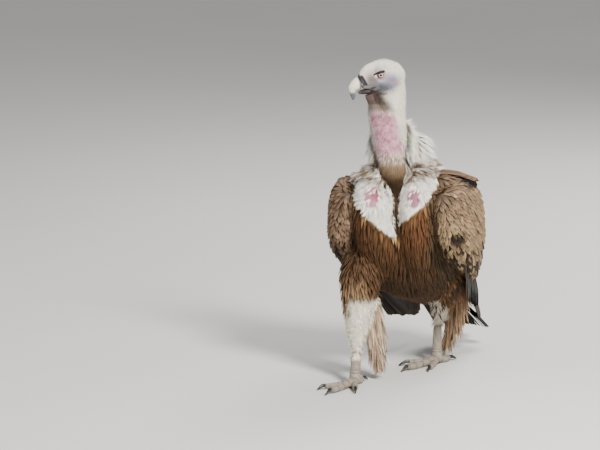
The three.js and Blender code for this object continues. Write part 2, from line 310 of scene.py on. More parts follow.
def remeshed(source, voxel):
    """A closed mesh of even faces around a bmesh."""
    mesh = bpy.data.meshes.new("remesh_source")
    source.to_mesh(mesh)
    holder = placed("remesh_source", mesh)
    modifier = holder.modifiers.new("voxels", "REMESH")
    modifier.mode = "VOXEL"
    modifier.voxel_size = voxel
    depsgraph = bpy.context.evaluated_depsgraph_get()
    made = bpy.data.meshes.new_from_object(holder.evaluated_get(depsgraph))
    bpy.data.objects.remove(holder)
    bpy.data.meshes.remove(mesh)
    return made


def keep_largest(mesh):
    """Deletes every loose body but the largest."""
    edges = edges_of(mesh)
    label = np.arange(len(mesh.vertices))
    while True:
        low = np.minimum(label[edges[:, 0]], label[edges[:, 1]])
        before = label.copy()
        np.minimum.at(label, edges[:, 0], low)
        np.minimum.at(label, edges[:, 1], low)
        label = label[label]
        if (label == before).all():
            break
    names, counts = np.unique(label, return_counts=True)
    if len(names) == 1:
        return
    keep = label == names[counts.argmax()]
    work = bmesh.new()
    work.from_mesh(mesh)
    work.verts.ensure_lookup_table()
    bmesh.ops.delete(work, geom=[work.verts[i] for i in np.flatnonzero(~keep)], context="VERTS")
    work.to_mesh(mesh)
    work.free()


def subdivide_where(mesh, choose):
    """Cuts each chosen face into four. choose takes face centres and gives a mask."""
    work = bmesh.new()
    work.from_mesh(mesh)
    centres = np.array([f.calc_center_median() for f in work.faces])
    faces = [f for f, chosen in zip(work.faces, choose(centres)) if chosen]
    edges = list({e for f in faces for e in f.edges})
    bmesh.ops.subdivide_edges(work, edges=edges, cuts=1, use_grid_fill=True)
    work.to_mesh(mesh)
    work.free()
    mesh.update()


# ---------------------------------------------------------------- the skin

FLESH = ["head", "cere", "neck", "ruff", "trunk"]
FLESH += [f"{part}_{side}" for part in ("breast", "scapulars", "thigh", "plume", "shank") for side in SIDES]
FLESH += [f"wing_{side}_coverts" for side in SIDES]
FLESH += [f"toe_{toe}_{side}" for toe in TOES for side in SIDES]
UNDER_SKIN = FLESH + [f"eye_{side}" for side in SIDES]
PARTS = list(COAT_DEPTH)
PART_OF = np.array([PARTS.index(name.split("_")[0]) for name in UNDER_SKIN])


def eye_view(left, ahead, up):
    """Head points seen straight on by the eye of their own side: forward, up, and out from its centre."""
    side = np.abs(left) - EYE[0]
    ahead = ahead - EYE[1]
    c, s = math.cos(EYE_TOE_OUT), math.sin(EYE_TOE_OUT)
    return ahead * c - side * s, up - EYE[2], side * c + ahead * s


LIDS_AT = (0.8, 0.4)  # middle of the opening of the lids in the eye's view, in mm
LIDS_HALF = 8.2
LID_RISE, LID_DROP = 3.3, 5.6


def lid_gap(x, y):
    """How far a place in the eye's view is inside the opening of the lids, in mm; below 0 outside."""
    x = x - LIDS_AT[0]
    t = np.clip(1 - (x / LIDS_HALF) ** 2, 0, 1)
    middle = LIDS_AT[1] - 0.13 * x
    gap = np.minimum(middle + LID_RISE * t - y, y - middle + LID_DROP * t ** 0.8)
    return np.where(t > 0, gap, -np.hypot(np.abs(x) - LIDS_HALF, y - middle))


def mouth_line(ahead):
    """How high the corner and edge of the mouth lie on the head."""
    return -19 + 3.5 * ease(ahead, 55, 38)


def jaw_edge(side, ahead, up, width):
    """1 on the lower edge of the jaw."""
    return hill(up, -31.5, width) * ease(np.abs(ahead - 27), 13, 8) * (side > 6)


def eye_line(x, y):
    """1 on the black line over an eye, in the eye's view."""
    middle = 6.7 - 0.12 * x - 0.011 * x * x
    half = 3.7 - 0.10 * np.abs(x + 1)
    return ease(np.abs(y - middle), half + 0.35, half - 0.35) * ease(np.abs(x - 3.4), 14.0, 12.4)


def sculpt_head(points):
    """Moves the skin's head points for the sockets, lids, brow, cheek, mouth line and throat."""
    left, ahead, up = to_head(points)
    sign = np.sign(left)
    x, y, out = eye_view(left, ahead, up)
    near = ease(np.hypot(x / 1.15, y), 17, 9.5) * (np.abs(left) > 12)
    r2 = np.clip(x * x + y * y, 0, (EYE_RADIUS * 0.93) ** 2)
    ball = np.sqrt(EYE_RADIUS ** 2 - r2)
    gap = lid_gap(x, y)
    brow_line = y - 7.2 + 0.12 * x + 0.011 * x * x
    brow = 2.3 * hill(brow_line, 2.6, 2.5) * ease(np.abs(x - 2), 17, 8)
    crease = 0.5 * hill(brow_line, -0.4, 1.0) * ease(np.abs(x - 1.5), 13, 6)
    rim = 0.55 * hill(gap, -0.9, 0.8)
    fold = 0.5 * hill(np.hypot(x, y + 1.5), 9.2, 0.8) * (y < 1)
    lid = ball + 0.75 + rim + brow - crease - fold
    lid = np.where(gap > 0, ball + 0.75 - 3.2 * ease(gap, 0, 0.7), lid)
    move = near * (lid - out)
    left = left + sign * move * math.cos(EYE_TOE_OUT)
    ahead = ahead + move * math.sin(EYE_TOE_OUT)

    side = np.abs(left)
    lore = hill(ahead, 45, 8) * hill(up, 2, 8) * (side > 8)
    cheek = hill(ahead, 16, 15) * hill(up, -14, 9) * (side > 15)
    ear = hill(ahead, -6, 3.2) * hill(up, -4, 4) * (side > 15)
    mouth = hill(up, mouth_line(ahead), 1.15) * ease(ahead, 38, 43) * (side > 4)
    lips = hill(up, mouth_line(ahead) + 3.6, 2.2) * ease(ahead, 42, 50) * (side > 4)
    jaw = jaw_edge(side, ahead, up, 1.6)
    under_jaw = hill(up, -38, 4) * ease(np.abs(ahead - 42), 26, 12) * (side > 4)
    nostril = nostril_slit(ahead, up) * (side > 5)
    push = 1.8 * cheek + 0.8 * lips - 1.6 * lore - 1.6 * ear
    push -= 1.7 * mouth + 1.3 * jaw + 1.2 * under_jaw + 1.5 * nostril
    return from_head(left + sign * push, ahead, up)


def nostril_slit(ahead, up):
    """1 in the slit of a nostril, seen from its side of the head."""
    x, y = ahead - 64.5, up - 3.5
    along, across = y * 0.93 + x * 0.36, x * 0.93 - y * 0.36
    return hill(across, 0, 1.0) * ease(np.abs(along), 5.2, 3.4)


def make_skin():
    """The flesh as one closed mesh, under the tips of the coat, with the part of each of its points."""
    shells, owner = joined_nodes(UNDER_SKIN, SKIN_GROW * MM)
    outer = BVHTree.FromBMesh(shells)
    mesh = remeshed(shells, SKIN_VOXEL * MM)
    shells.free()
    keep_largest(mesh)

    def parts_at(points):
        return PART_OF[owner[[outer.find_nearest(p)[2] for p in points]]]

    part = parts_at(verts_of(mesh))
    edges = edges_of(mesh)
    small = np.isin(part, [PARTS.index(p) for p in ("toe", "shank", "plume")])
    points = smoothed(verts_of(mesh), edges, np.where(small, 0.5, 1.0), 5)
    points = relax(points, edges, np.where(small, 0.2, 1.0), 5)
    set_verts(mesh, points)
    depth = np.array([COAT_DEPTH[p] for p in PARTS])[part]
    depth = relax(depth, edges, 1.0, 8)
    points = points - normals_of(mesh) * depth[:, None] * MM
    set_verts(mesh, relax(points, edges, np.where(small, 0.0, 1.0), 2))

    head_middle = (HEAD_AT + SHIFT) * MM

    def head_near(centres):
        away = np.linalg.norm(centres - head_middle, axis=1)
        return (away < HEAD_ZONE * MM) & (to_head(centres)[2] > HEAD_ZONE_LOW)

    def head_or_feet_near(centres):
        return head_near(centres) | (centres[:, 2] < FEET_ZONE * MM)

    subdivide_where(mesh, head_or_feet_near)
    subdivide_where(mesh, head_near)
    points = verts_of(mesh)
    set_verts(mesh, relax(points, edges_of(mesh), 1.0 * (points[:, 2] > RELAXED_ABOVE * MM), 4))
    for zone in EYE_ZONES:

        def eye_near(centres):
            x, y, out = eye_view(*to_head(centres))
            return (np.hypot(x / 1.2, y) < zone) & (out > 0)

        subdivide_where(mesh, eye_near)
    points = sculpt_head(verts_of(mesh))
    points[:, 2] = np.maximum(points[:, 2], SKIN_OFF_FLOOR * MM)
    set_verts(mesh, points)
    return mesh, parts_at(points)


skin_mesh, skin_part = make_skin()
print("skin", len(skin_mesh.vertices), "points")

# ---------------------------------------------------------------- markings, shared by skin and coat

# Each marking fades in and out with the place on the bird, or on the head. For example ease(up, 545, 520) is
# nothing at 545 mm above the floor and all at 520.

CREAM = (0.85, 0.82, 0.745)
WHITE = (0.97, 0.95, 0.90)
LILAC = (0.38, 0.355, 0.43)
GREY = (0.18, 0.195, 0.21)
PINK = (0.62, 0.385, 0.42)
MAUVE = (0.40, 0.19, 0.275)
CRIMSON = (0.42, 0.045, 0.10)
SLATE = (0.032, 0.030, 0.052)
DARK = (0.018, 0.014, 0.014)
MAROON = (0.080, 0.043, 0.037)
THROAT_SHADOW = (0.15, 0.12, 0.085)
BUFF = (0.55, 0.36, 0.17)
RUFOUS = (0.165, 0.082, 0.042)
BROWN = (0.115, 0.065, 0.036)
UMBER = (0.055, 0.034, 0.022)
SAND = (0.30, 0.225, 0.145)
LEG_GREY = (0.42, 0.375, 0.32)
FOREHEAD = (0.62, 0.50, 0.47)
FACE = (0.43, 0.37, 0.36)
LORE = (0.20, 0.17, 0.17)
JAW = (0.12, 0.085, 0.10)
CERE_LOW = (0.25, 0.25, 0.24)
LID = (0.62, 0.40, 0.39)
LID_CORNER = (0.86, 0.68, 0.66)
LID_EDGE = (0.10, 0.04, 0.045)
RUFF_STREAK = (0.33, 0.23, 0.145)
FLANK_SHADE = (0.062, 0.050, 0.034)
MANTLE = (0.27, 0.20, 0.145)
CROP = (0.13, 0.085, 0.06)
SHOULDER = (0.27, 0.195, 0.145)
WING_FRONT = (0.205, 0.145, 0.10)
# painted shade of the far wing, which lies away from the key lamp
FAR_WING_SHADE = ((0.235, 0.165, 0.12), (0.115, 0.08, 0.056))  # its top and its lower edge
NECK_FOOT = ((0.37, 0.28, 0.19), (0.10, 0.065, 0.04))  # the same of the lowest neck
THIGHS = ((0.27, 0.19, 0.12), (0.20, 0.115, 0.062))  # right and left
WOOL = ((0.98, 0.94, 0.84), (0.92, 0.87, 0.77))

# Outlines seen from in front, as left and up in mm.
WHITE_RIGHT = [(-104, 474), (-86, 496), (-38, 484), (-14, 440), (-5, 392), (-5, 340), (-20, 343), (-58, 378),
               (-90, 412), (-106, 448)]
WHITE_LEFT = [(2, 470), (28, 484), (76, 487), (79, 452), (66, 426), (42, 402), (20, 386), (-3, 364),
              (-3, 400)]
LEGS_PART = 15  # between the legs, in mm to the left
BARE_RIGHT = (-57, 437)
BARE_LEFT = (39, 438)


def head_colours(points):
    """The skin and down of the head."""
    left, ahead, up = to_head(points)
    side = np.abs(left)
    x, y, out = eye_view(left, ahead, up)
    # painted shadow on the throat under the jaw
    jaw_shadow = ease(up + 0.3 * (ahead - 50), -23, -29) * ease(ahead - 0.5 * (up + 50), 8, 30)
    mouth = hill(up, mouth_line(ahead), 2.0) * ease(ahead, 37, 43) * (side > 3)
    # a slate band slants down and back over the cere, which is greyer below
    band = (ahead - 64) * 0.95 - (up - 3) * 0.33
    cere = ease(np.abs(band - 0.5), 6.2, 4.2) * ease(up, -12, -6) * ease(up, 18, 13)
    cere = np.maximum(cere, ease(ahead, 67, 70)) * ease(up, -14, -8)
    cere_low = ease(np.abs(band), 9, 6) * ease(up, -22, -17) * ease(up, -4, -9)
    gap = lid_gap(x, y)
    eye_side = (side > 10) & (out > 0)
    below = eye_side * ease(y, 2.5, -0.5)
    return painted(
        CREAM,
        (FOREHEAD, 0.55 * ease(ahead, 36, 60) * ease(up, 40, 25)),
        (FACE, 0.8 * blob(ahead, up, (31, 12), (23, 17), 0.5) * (side > 8)),
        (LILAC, 0.9 * blob(ahead, up, (10, -8), (26, 19), 0.5) * (side > 8)),
        (LORE, 0.8 * blob(ahead, up, (47, -2), (13, 15), 0.7) * (side > 4)),
        (GREY, 0.88 * blob(ahead, up, (39, -18), (30, 11), 0.6) * (side > 4)),
        # painted shadow under the jaw: maroon next to it, olive further down the throat
        (MAROON, 0.92 * jaw_shadow * ease(up, -64, -52)),
        (THROAT_SHADOW, 0.85 * jaw_shadow * ease(up, -48, -62) * ease(up, -82, -64)),
        (DARK, 0.85 * mouth),
        (JAW, 0.75 * jaw_edge(side, ahead, up, 2.2)),
        (MAROON, 0.95 * blob(ahead, up, (58, -25), (16, 7), 0.4)),
        (CERE_LOW, 0.8 * cere_low),
        (SLATE, 0.95 * cere),
        (LID, 0.8 * below * ease(np.abs(gap + 2.4), 2.4, 1.2)),
        (LID_CORNER, 0.9 * eye_side * blob(x, y, (10.0, -2.2), (4.6, 3.0), 0.5)),
        (LID_EDGE, 0.9 * below * ease(np.abs(gap + 0.5), 1.1, 0.5)),
        (DARK, 0.97 * eye_side * eye_line(x, y)),
    )


def neck_bareness(points):
    """1 where the front of the neck shows its skin."""
    left, ahead, up = to_bird(points)
    axis = np.interp(up, [520, 600, 680], [-17, -30, -33])
    depth = np.interp(up, [520, 600, 680], [72, 66, 68])
    angle = np.degrees(np.arctan2(-(left - axis), ahead - depth))
    middle = np.interp(up, [540, 640], [-1, 6])
    half = np.interp(up, [540, 640], [52, 41])
    wobble = 9 * waves(points, 30, 5)
    bare = ease(np.abs(angle - middle + wobble), half + 9, half - 9)
    return bare * ease(up, 505, 548) * ease(up, 650, 618)


def bare_neck_colours(points):
    """The colours of the head, with blotched pink skin down the front of the neck."""
    blotch = np.clip(0.55 + 0.6 * waves(points, 13, 21), 0, 1)
    return mix(head_colours(points), mix(PINK, MAUVE, blotch), neck_bareness(points))


def neck_colours(points):
    """The same, turning brown towards the breast."""
    up = to_bird(points)[2]
    return mix(bare_neck_colours(points), mix(*NECK_FOOT, ease(up, 520, 486)), ease(up, 545, 520))


def breast_masks(points):
    """White down, bare spots, buff border and dark parting of the breast, each from 0 to 1."""
    left, ahead, up = to_bird(points)
    front = ease(ahead, 18, 40) * ease(up, 300, 320)
    rough_left = left + 2.5 * waves(points, 16, 11)
    rough_up = up + 2.5 * waves(points, 16, 12)
    half = np.interp(up, [350, 440, 470, 490], [8, 12, 18, 26])
    parting = ease(np.abs(rough_left + 5), half + 2, half - 2) * front
    parting = parting * ease(up, 338, 352) * ease(up, 505, 485)

    def patches(lower, soft):
        pair = [inside(rough_left, rough_up + lower, patch, soft) for patch in (WHITE_RIGHT, WHITE_LEFT)]
        return np.maximum(*pair) * front * (1 - parting)

    white, edge = patches(0, 3.5), patches(12, 9)
    bare = np.maximum(
        blob(rough_left, rough_up, BARE_RIGHT, (21, 22), 0.2),
        blob(rough_left, rough_up, BARE_LEFT, (17, 21), 0.2),
    ) * front
    return white, bare, edge * (1 - white), parting


def ruff_colours(points):
    """White above, streaked with brown down to the breast."""
    streak = 0.62 + 0.8 * waves(points * (1, 1, 0.25), 9, 51)
    return mix(WHITE, RUFF_STREAK, ease(to_bird(points)[2], 552, 502) * np.clip(streak, 0, 1))


def collar(points):
    """1 on the part of the body that the ruff's plumes cover."""
    left, ahead, up = to_bird(points)
    return ease(up, 478, 492) * ease(np.hypot(left + 8, ahead - 40), 112, 98)


def body_colours(points):
    """The breast, belly, back and rump."""
    left, ahead, up = to_bird(points)
    white, bare, edge, parting = breast_masks(points)
    rufous = np.clip(0.55 + 0.35 * np.sign(left) + 0.3 * waves(points, 60, 3), 0, 1)
    # painted shade on the flanks, in the gaps between the breast and the wings
    flank_shade = ease(np.abs(left + 4), np.where(left < 0, 92, 62), np.where(left < 0, 110, 82))
    back = ease(ahead, 20, -60) * ease(up, 330 + 0.9 * ahead, 380 + 0.9 * ahead)
    shoulder = ease(up, 425, 450) * ease(ahead - 0.8 * np.abs(left + 5), 20, 0)
    crop = blob(left, up, (-8, 496), (22, 20), 0.5) * ease(ahead, 60, 85)
    red = np.where(left < -10, 1.0, 0.3) * ease(left, -66, -48) * ease(up, 424, 438)
    flesh = painted(PINK, (CRIMSON, 0.9 * red), (MAUVE, np.where(left > -10, 0.8, 0.35)))
    return painted(
        BROWN,
        (RUFOUS, rufous * ease(up, 280, 350) * ease(ahead, 0, 50)),
        (UMBER, 0.75 * ease(up, 300, 230) * ease(ahead, -140, -60)),
        (FLANK_SHADE, 0.85 * flank_shade * ease(up, 455, 425) * ease(up, 190, 240)),
        (MANTLE, np.maximum(0.8 * back, 0.9 * shoulder)),
        (BUFF, 0.9 * edge),
        (WHITE, white),
        (UMBER, 0.9 * parting),
        (CROP, 0.85 * crop),
        (flesh, bare),
        (ruff_colours(points), collar(points)),
    )


def wing_colours(points):
    """Sandy coverts, browner to the front edge, with painted shade on the far wing."""
    left, ahead, up = to_bird(points)
    near = left > 0
    # inner: painted shade on the inner face of each wing, beside the body
    inner = ease(np.abs(left), np.where(near, 98, 116), np.where(near, 86, 106)) * ease(up, 452, 430)
    hole = blob(left, up, (135, 353), (12, 18), 0.4) * near * ease(ahead, -30, 0)
    # a dark slot at the top of the near wing: dark quills in the gap under the mantle, with painted shade of
    # that gap
    gap_quills_and_shade = blob(left, up + 0.42 * (left - 138), (138, 466), (29, 10), 0.3) * near * ease(ahead, -40, -20)
    colour = painted(
        SAND,
        (SHOULDER, 0.6 * ease(up, 385, 430)),
        (WING_FRONT, 0.75 * ease(np.abs(left), 122, 98) * ease(up, 400, 425)),
        # painted shade over the far wing, darker towards its lower edge
        (mix(*FAR_WING_SHADE, ease(up, 380, 270)), 0.92 * (left < 0)),
        (UMBER, 0.9 * inner),
        (DARK, 0.97 * np.maximum(hole, gap_quills_and_shade)),
    )
    return colour * (1 + 0.2 * waves(points, 22, 9))[:, None]


def plume_colours(points):
    """Tan feathers of thigh and plume, brown where the right thigh meets the belly."""
    left, _, up = to_bird(points)
    right = left < LEGS_PART
    belly = right * ease(left + 86 - 0.16 * (270 - up), -5, 5) * ease(up, 180, 195)
    return painted(
        np.where(right[:, None], *THIGHS),
        (RUFOUS, np.where(right, 0.3, 0.55) * ease(up, 190, 260)),
        (BROWN, 0.85 * np.maximum(belly, right * ease(up, 238, 264))),
    )


def leg_colours(points):
    """The same with white wool down the front of the leg, over grey scaly skin."""
    left, ahead, up = to_bird(points)
    right = left < LEGS_PART
    knee = np.where(right, -100, 42)
    front = np.where(right, 84, -158)
    inner = ease(left - knee + 0.5 * (ahead - front), -26, -12)
    wool = ease(up, np.where(right, 205, 178), np.where(right, 182, 160))
    wool = wool * ease(up, np.where(right, 50, 84), np.where(right, 62, 96))
    wool = wool * np.where(right, np.maximum(inner, ease(up, 172, 150)), ease(left - knee, 30, 14))
    bare = ease(up, np.where(right, 60, 92), np.where(right, 48, 84))
    return painted(plume_colours(points), (np.where(right[:, None], *WOOL), wool), (LEG_GREY, bare))


# The middle of each foot in mm (left, ahead) and its turn, then the turns of its toes. A turn is in degrees.
FEET = {"left": ((40, -145), 24), "right": ((-95, 135), 22)}
TOE_TURNS = {"hallux": 172, "inner": -36, "middle": -4, "outer": 24}
JOINT_GAP = 23.0  # mm between the joints of a toe


def toe_reach(points):
    """How far along its own toe each point is, in mm from the middle of the foot."""
    left, ahead, _ = to_bird(points)
    reach = np.zeros(len(points))
    nearest = np.full(len(points), 1e9)
    for side, ((x, y), foot_turn) in FEET.items():
        away = np.hypot(left - x, ahead - y)
        for toe_turn in TOE_TURNS.values():
            mirrored = toe_turn if side == "right" else -toe_turn
            angle = math.radians(foot_turn + mirrored)
            along = -(left - x) * math.sin(angle) + (ahead - y) * math.cos(angle)
            off = np.sqrt(np.maximum(away ** 2 - np.maximum(along, 0) ** 2, 0))
            reach = np.where(off < nearest, along, reach)
            nearest = np.minimum(off, nearest)
    return reach


PAINTS = (
    (("head", "cere", "eye"), bare_neck_colours),
    (("neck",), neck_colours),
    (("ruff",), ruff_colours),
    (("breast", "trunk"), body_colours),
    (("wing", "scapulars"), wing_colours),
    (("thigh", "shank"), leg_colours),
    (("plume",), plume_colours),
)


def marked(points, part):
    """The colour of the bird at each point, by the part of the body that it is on."""
    name = np.array(PARTS)[part]
    colour = np.tile(LEG_GREY, (len(points), 1))
    for members, paint in PAINTS:
        chosen = np.isin(name, members)
        colour[chosen] = paint(points[chosen])
    return np.clip(colour, 0, 1)


# ---------------------------------------------------------------- the lie of the coat

# Places on the bird, the direction that feathers lie there (left, ahead, up) and how far it reaches, in mm.
COMBED = [
    ((-8, 86, 500), (0.0, 0.1, -1), 50),
    ((-60, 84, 450), (-0.15, 0.05, -1), 60),
    ((45, 84, 450), (0.15, 0.05, -1), 60),
    ((-58, 88, 360), (0.05, 0, -1), 60),
    ((44, 86, 360), (-0.05, 0, -1), 60),
    ((-8, 70, 330), (0, -0.1, -1), 60),
    ((0, 20, 250), (0, -0.6, -0.8), 80),
    ((0, -60, 190), (0, -1, -0.35), 90),
    ((0, -160, 150), (0, -1, -0.35), 90),
    ((0, -200, 200), (0, -0.85, -0.5), 80),
    ((0, -60, 400), (0, -0.8, -0.6), 90),
    ((0, -120, 340), (0, -0.8, -0.6), 90),
    ((90, 60, 460), (0.5, -0.5, -0.7), 50),
    ((-90, 60, 460), (-0.5, -0.5, -0.7), 50),
    ((128, 60, 400), (0.1, -0.35, -1), 60),
    ((-140, 60, 400), (-0.1, -0.35, -1), 60),
    ((132, 0, 350), (0, -0.6, -0.8), 80),
    ((-150, 0, 350), (0, -0.6, -0.8), 80),
    ((125, -100, 290), (0, -0.85, -0.6), 90),
    ((-135, -100, 290), (0, -0.85, -0.6), 90),
    ((-90, 20, 290), (0, 0.1, -1), 50),
    ((-100, 50, 190), (0.05, 0.35, -1), 60),
    ((-100, 85, 100), (0, 0.35, -1), 50),
    ((80, -50, 260), (0.05, -0.4, -1), 50),
    ((80, -100, 200), (-0.2, -0.5, -1), 50),
    ((42, -160, 120), (-0.1, -0.1, -1), 50),
    ((-70, 30, 130), (0.3, 0.1, -1), 35),
    ((82, -170, 120), (-0.1, -0.4, -1), 35),
    ((-28, 66, 640), (0, 0, -1), 60),
    ((-28, 67, 580), (0, 0, -1), 60),
    ((-28, 60, 530), (0, 0, -1), 60),
]
# The same on the head, in its own left, ahead and up.
COMBED_HEAD = [
    ((0, 50, 36), (0, -1, 0.45), 18),
    ((0, 15, 44), (0, -1, 0), 25),
    ((0, -25, 28), (0, -0.8, -0.8), 22),
    ((30, 20, 22), (0, -1, 0.15), 16),
    ((-30, 20, 22), (0, -1, 0.15), 16),
    ((30, 30, -14), (0, -1, -0.25), 22),
    ((-30, 30, -14), (0, -1, -0.25), 22),
    ((0, 50, -40), (0, -0.6, -0.8), 22),
    ((0, 0, -50), (0, -0.1, -1), 50),
]


def comb_table():
    """The comb's places, directions and reaches in the frame."""
    places = [at(*place) for place, _, _ in COMBED]
    ways = [way(*direction) for _, direction, _ in COMBED]
    for place, direction, _ in COMBED_HEAD:
        places.append((on_head(*place) + SHIFT) * MM)
        ways.append(unit(on_head(*direction) - on_head(0, 0, 0)))
    reaches = [reach for _, _, reach in COMBED + COMBED_HEAD]
    return np.array(places), np.array(ways), np.array(reaches) * MM


COMB_PLACES, COMB_WAYS, COMB_REACHES = comb_table()


def lie(points, normals, outward=0.0):
    """The direction along the surface that a feather lies at each point."""
    away = np.linalg.norm(points[:, None] - COMB_PLACES[None], axis=2) / COMB_REACHES
    weight = np.exp(-away ** 2) + 1e-9 / (0.01 + away ** 2)
    made = unit((weight[:, :, None] * COMB_WAYS[None]).sum(1))
    if outward:
        spoke = points - at(-8, 48, 530)
        spoke[:, 2] *= 0.4
        made = unit(made + outward * unit(spoke))
    return unit(made - (made * normals).sum(1)[:, None] * normals)


TRIES = 3.5  # places drawn for each feather that finds room


class Ground:
    """The finished skin, as something that feathers grow from and lie along."""

    def __init__(self, mesh, part):
        self.points = verts_of(mesh)
        self.faces = triangles_of(mesh)
        self.tree = BVHTree.FromPolygons(self.points.tolist(), self.faces.tolist())
        normals = unit(relax(normals_of(mesh), edges_of(mesh), 1.0, 4))
        a, b, c = (self.points[self.faces[:, i]] for i in range(3))
        self.area = np.linalg.norm(np.cross(b - a, c - a), axis=1) / 2
        self.middle = (a + b + c) / 3
        self.face_normal = unit(normals[self.faces].sum(1))
        self.face_part = part[self.faces[:, 0]]
        self.uv = face_places(mesh)

    def nearest(self, points):
        """The nearest places on the skin, with the normal and the number of their faces."""
        hits = [self.tree.find_nearest(p) for p in points]
        index = np.array([h[2] for h in hits])
        return np.array([h[0] for h in hits]), self.face_normal[index], index

    def roots(self, parts, spacing, keep=None):
        """Places on those parts, about spacing metres apart; keep gives each place's chance of staying."""
        chosen = np.flatnonzero(np.isin(self.face_part, [PARTS.index(p) for p in parts]))
        area = self.area[chosen]
        if keep is not None:
            area = area * np.clip(keep(self.middle[chosen]), 0, 1)
        count = int(area.sum() / (spacing ** 2 * 0.87) * TRIES)
        face = rng.choice(chosen, count, p=area / area.sum())
        u, v = rng.random(count), rng.random(count)
        over = u + v > 1
        u[over], v[over] = 1 - u[over], 1 - v[over]
        a, b, c = self.points[self.faces[face]].transpose(1, 0, 2)
        places = a + u[:, None] * (b - a) + v[:, None] * (c - a)
        stay = spread(places, spacing * 0.8)
        return places[stay], self.face_normal[face[stay]], face[stay]


def spread(places, gap):
    """Which of the places to keep so that none is nearer another than the gap."""
    taken = {}
    stay = []
    cells = np.floor(places / gap).astype(int)
    for i, (cell, place) in enumerate(zip(map(tuple, cells), places)):
        x, y, z = cell
        near = (
            q
            for dx in (-1, 0, 1)
            for dy in (-1, 0, 1)
            for dz in (-1, 0, 1)
            for q in taken.get((x + dx, y + dy, z + dz), ())
        )
        if all(((place - q) ** 2).sum() >= gap * gap for q in near):
            taken.setdefault(cell, []).append(place)
            stay.append(i)
    return np.array(stay)


# ---------------------------------------------------------------- feathers, each grown from one flat pattern


class Pattern:
    """A flat feather: points as share of its length, share of its half width and lift, with faces."""

    def __init__(self):
        self.points = []
        self.faces = []

    def point(self, along, across, lift=0.0):
        self.points.append((along, across, lift))
        return len(self.points) - 1

    def face(self, *corners):
        self.faces.append(corners)


def vane_pattern(outline, rows, columns, camber, frayed):
    """A closed vane: outline gives its half width along its length."""
    made = Pattern()
    draw = np.random.default_rng(rows * 10 + columns)
    grid = []
    for i in range(rows + 1):
        s = i / rows
        row = []
        for j in range(columns + 1):
            t = 2 * j / columns - 1
            edge = abs(t)
            sweep = 0.10 * edge * (1 - s) - frayed * draw.uniform(0, 1) * edge * (s > 0.4)
            row.append(made.point(s + sweep * 0.6, t * outline(s), -camber * edge ** 2))
        grid.append(row)
    for i in range(rows):
        for j in range(columns):
            made.face(grid[i][j], grid[i][j + 1], grid[i + 1][j + 1], grid[i + 1][j])
    return made


def barbed_pattern(outline, pairs, start, reach, seed, droop):
    """A loose feather: barbs as narrow blades on both sides of a shaft."""
    made = Pattern()
    draw = np.random.default_rng(seed)
    shaft = [made.point(0, -0.05), made.point(0, 0.05), made.point(0.55, 0.035), made.point(0.55, -0.035)]
    made.face(*shaft)
    tip = made.point(1.0, 0)
    made.face(shaft[3], shaft[2], tip)
    step = (0.93 - start) / pairs
    for i in range(pairs):
        for side in (-1, 1):
            s = start + step * (i + 0.5 * (side > 0))
            long = reach * (1 - 0.45 * s) * draw.uniform(0.8, 1.15)
            wide = outline(min(1, s + 0.25 * long)) * draw.uniform(0.85, 1.1)
            lift = draw.uniform(-droop, droop * 0.6) * wide
            a = made.point(s, 0.02 * side)
            b = made.point(s + step * 1.5, 0.02 * side)
            c = made.point(s + step * 0.9 + 0.55 * long, side * wide * 0.72, lift * 0.4)
            d = made.point(s + 0.42 * long, side * wide * 0.78, lift * 0.4)
            e = made.point(s + long, side * wide, lift)
            if side > 0:
                made.face(a, d, c, b)
                made.face(d, e, c)
            else:
                made.face(a, b, c, d)
                made.face(d, c, e)
    return made


def tuft_pattern(blades, splay, width, seed, lift):
    """A tuft of down: thin blades fanning from one root."""
    made = Pattern()
    draw = np.random.default_rng(seed)
    for k in range(blades):
        lean = splay * (2 * (k + 0.5) / blades - 1) + draw.uniform(-0.2, 0.2)
        long = draw.uniform(0.7, 1.0)
        up = draw.uniform(-0.2, lift)
        bend = draw.uniform(-0.25, 0.25)
        a = made.point(0, lean * 0.15 - width / 2)
        b = made.point(0, lean * 0.15 + width / 2)
        c = made.point(0.5 * long, lean * 0.55 + bend * 0.3 + width * 0.42, up * 0.45)
        d = made.point(0.5 * long, lean * 0.55 + bend * 0.3 - width * 0.42, up * 0.45)
        e = made.point(long, lean + bend, up)
        made.face(a, b, c, d)
        made.face(d, c, e)
    return made


def rounded(s):
    """Half width of a round-tipped feather along its length."""
    base = min(1.0, 0.35 + 2.2 * s)
    return base * math.sqrt(max(0.0, 1 - (max(0.0, s - 0.5) / 0.505) ** 1.7))


def pointed(s):
    """Half width of a lance-shaped feather along its length."""
    base = min(1.0, 0.3 + 2.6 * s)
    return base * max(0.0, 1 - (max(0.0, s - 0.25) / 0.75) ** 1.5)


def lanced(s):
    """Half width of a feather between round-tipped and lance-shaped along its length."""
    return 0.5 * (rounded(s) + pointed(s))


def strap(s):
    """Half width of a long flight feather along its length."""
    base = min(1.0, 0.55 + 1.5 * s)
    return base * math.sqrt(max(0.0, 1 - (max(0.0, s - 0.84) / 0.162) ** 2))


STEPS = 5  # stretches that the middle line of a feather is laid in
PATCH = 0.003  # size of a feather's patch on the map OFBake
PATTERN_STEP = 7919  # a prime, so that each pattern is used about as often


class Laid:
    """Feathers laid out as middle lines, with the way up and the way across at each station."""

    def laid(self, pattern, chosen):
        """The places of the pattern's points on each chosen feather."""
        shape = np.array(pattern.points)
        s = np.clip(shape[:, 0], 0, 1) * STEPS
        low = np.minimum(s.astype(int), STEPS - 1)
        part = (s - low)[:, None, None]

        def between(stations):
            picked = stations[:, chosen]
            return picked[low] * (1 - part) + picked[low + 1] * part

        line, up, side = between(self.line), between(self.ups), between(self.sides)
        wide = self.wide[chosen][None, :, None]
        places = line + side * shape[:, 1][:, None, None] * wide + up * shape[:, 2][:, None, None] * wide
        return places.transpose(1, 0, 2)


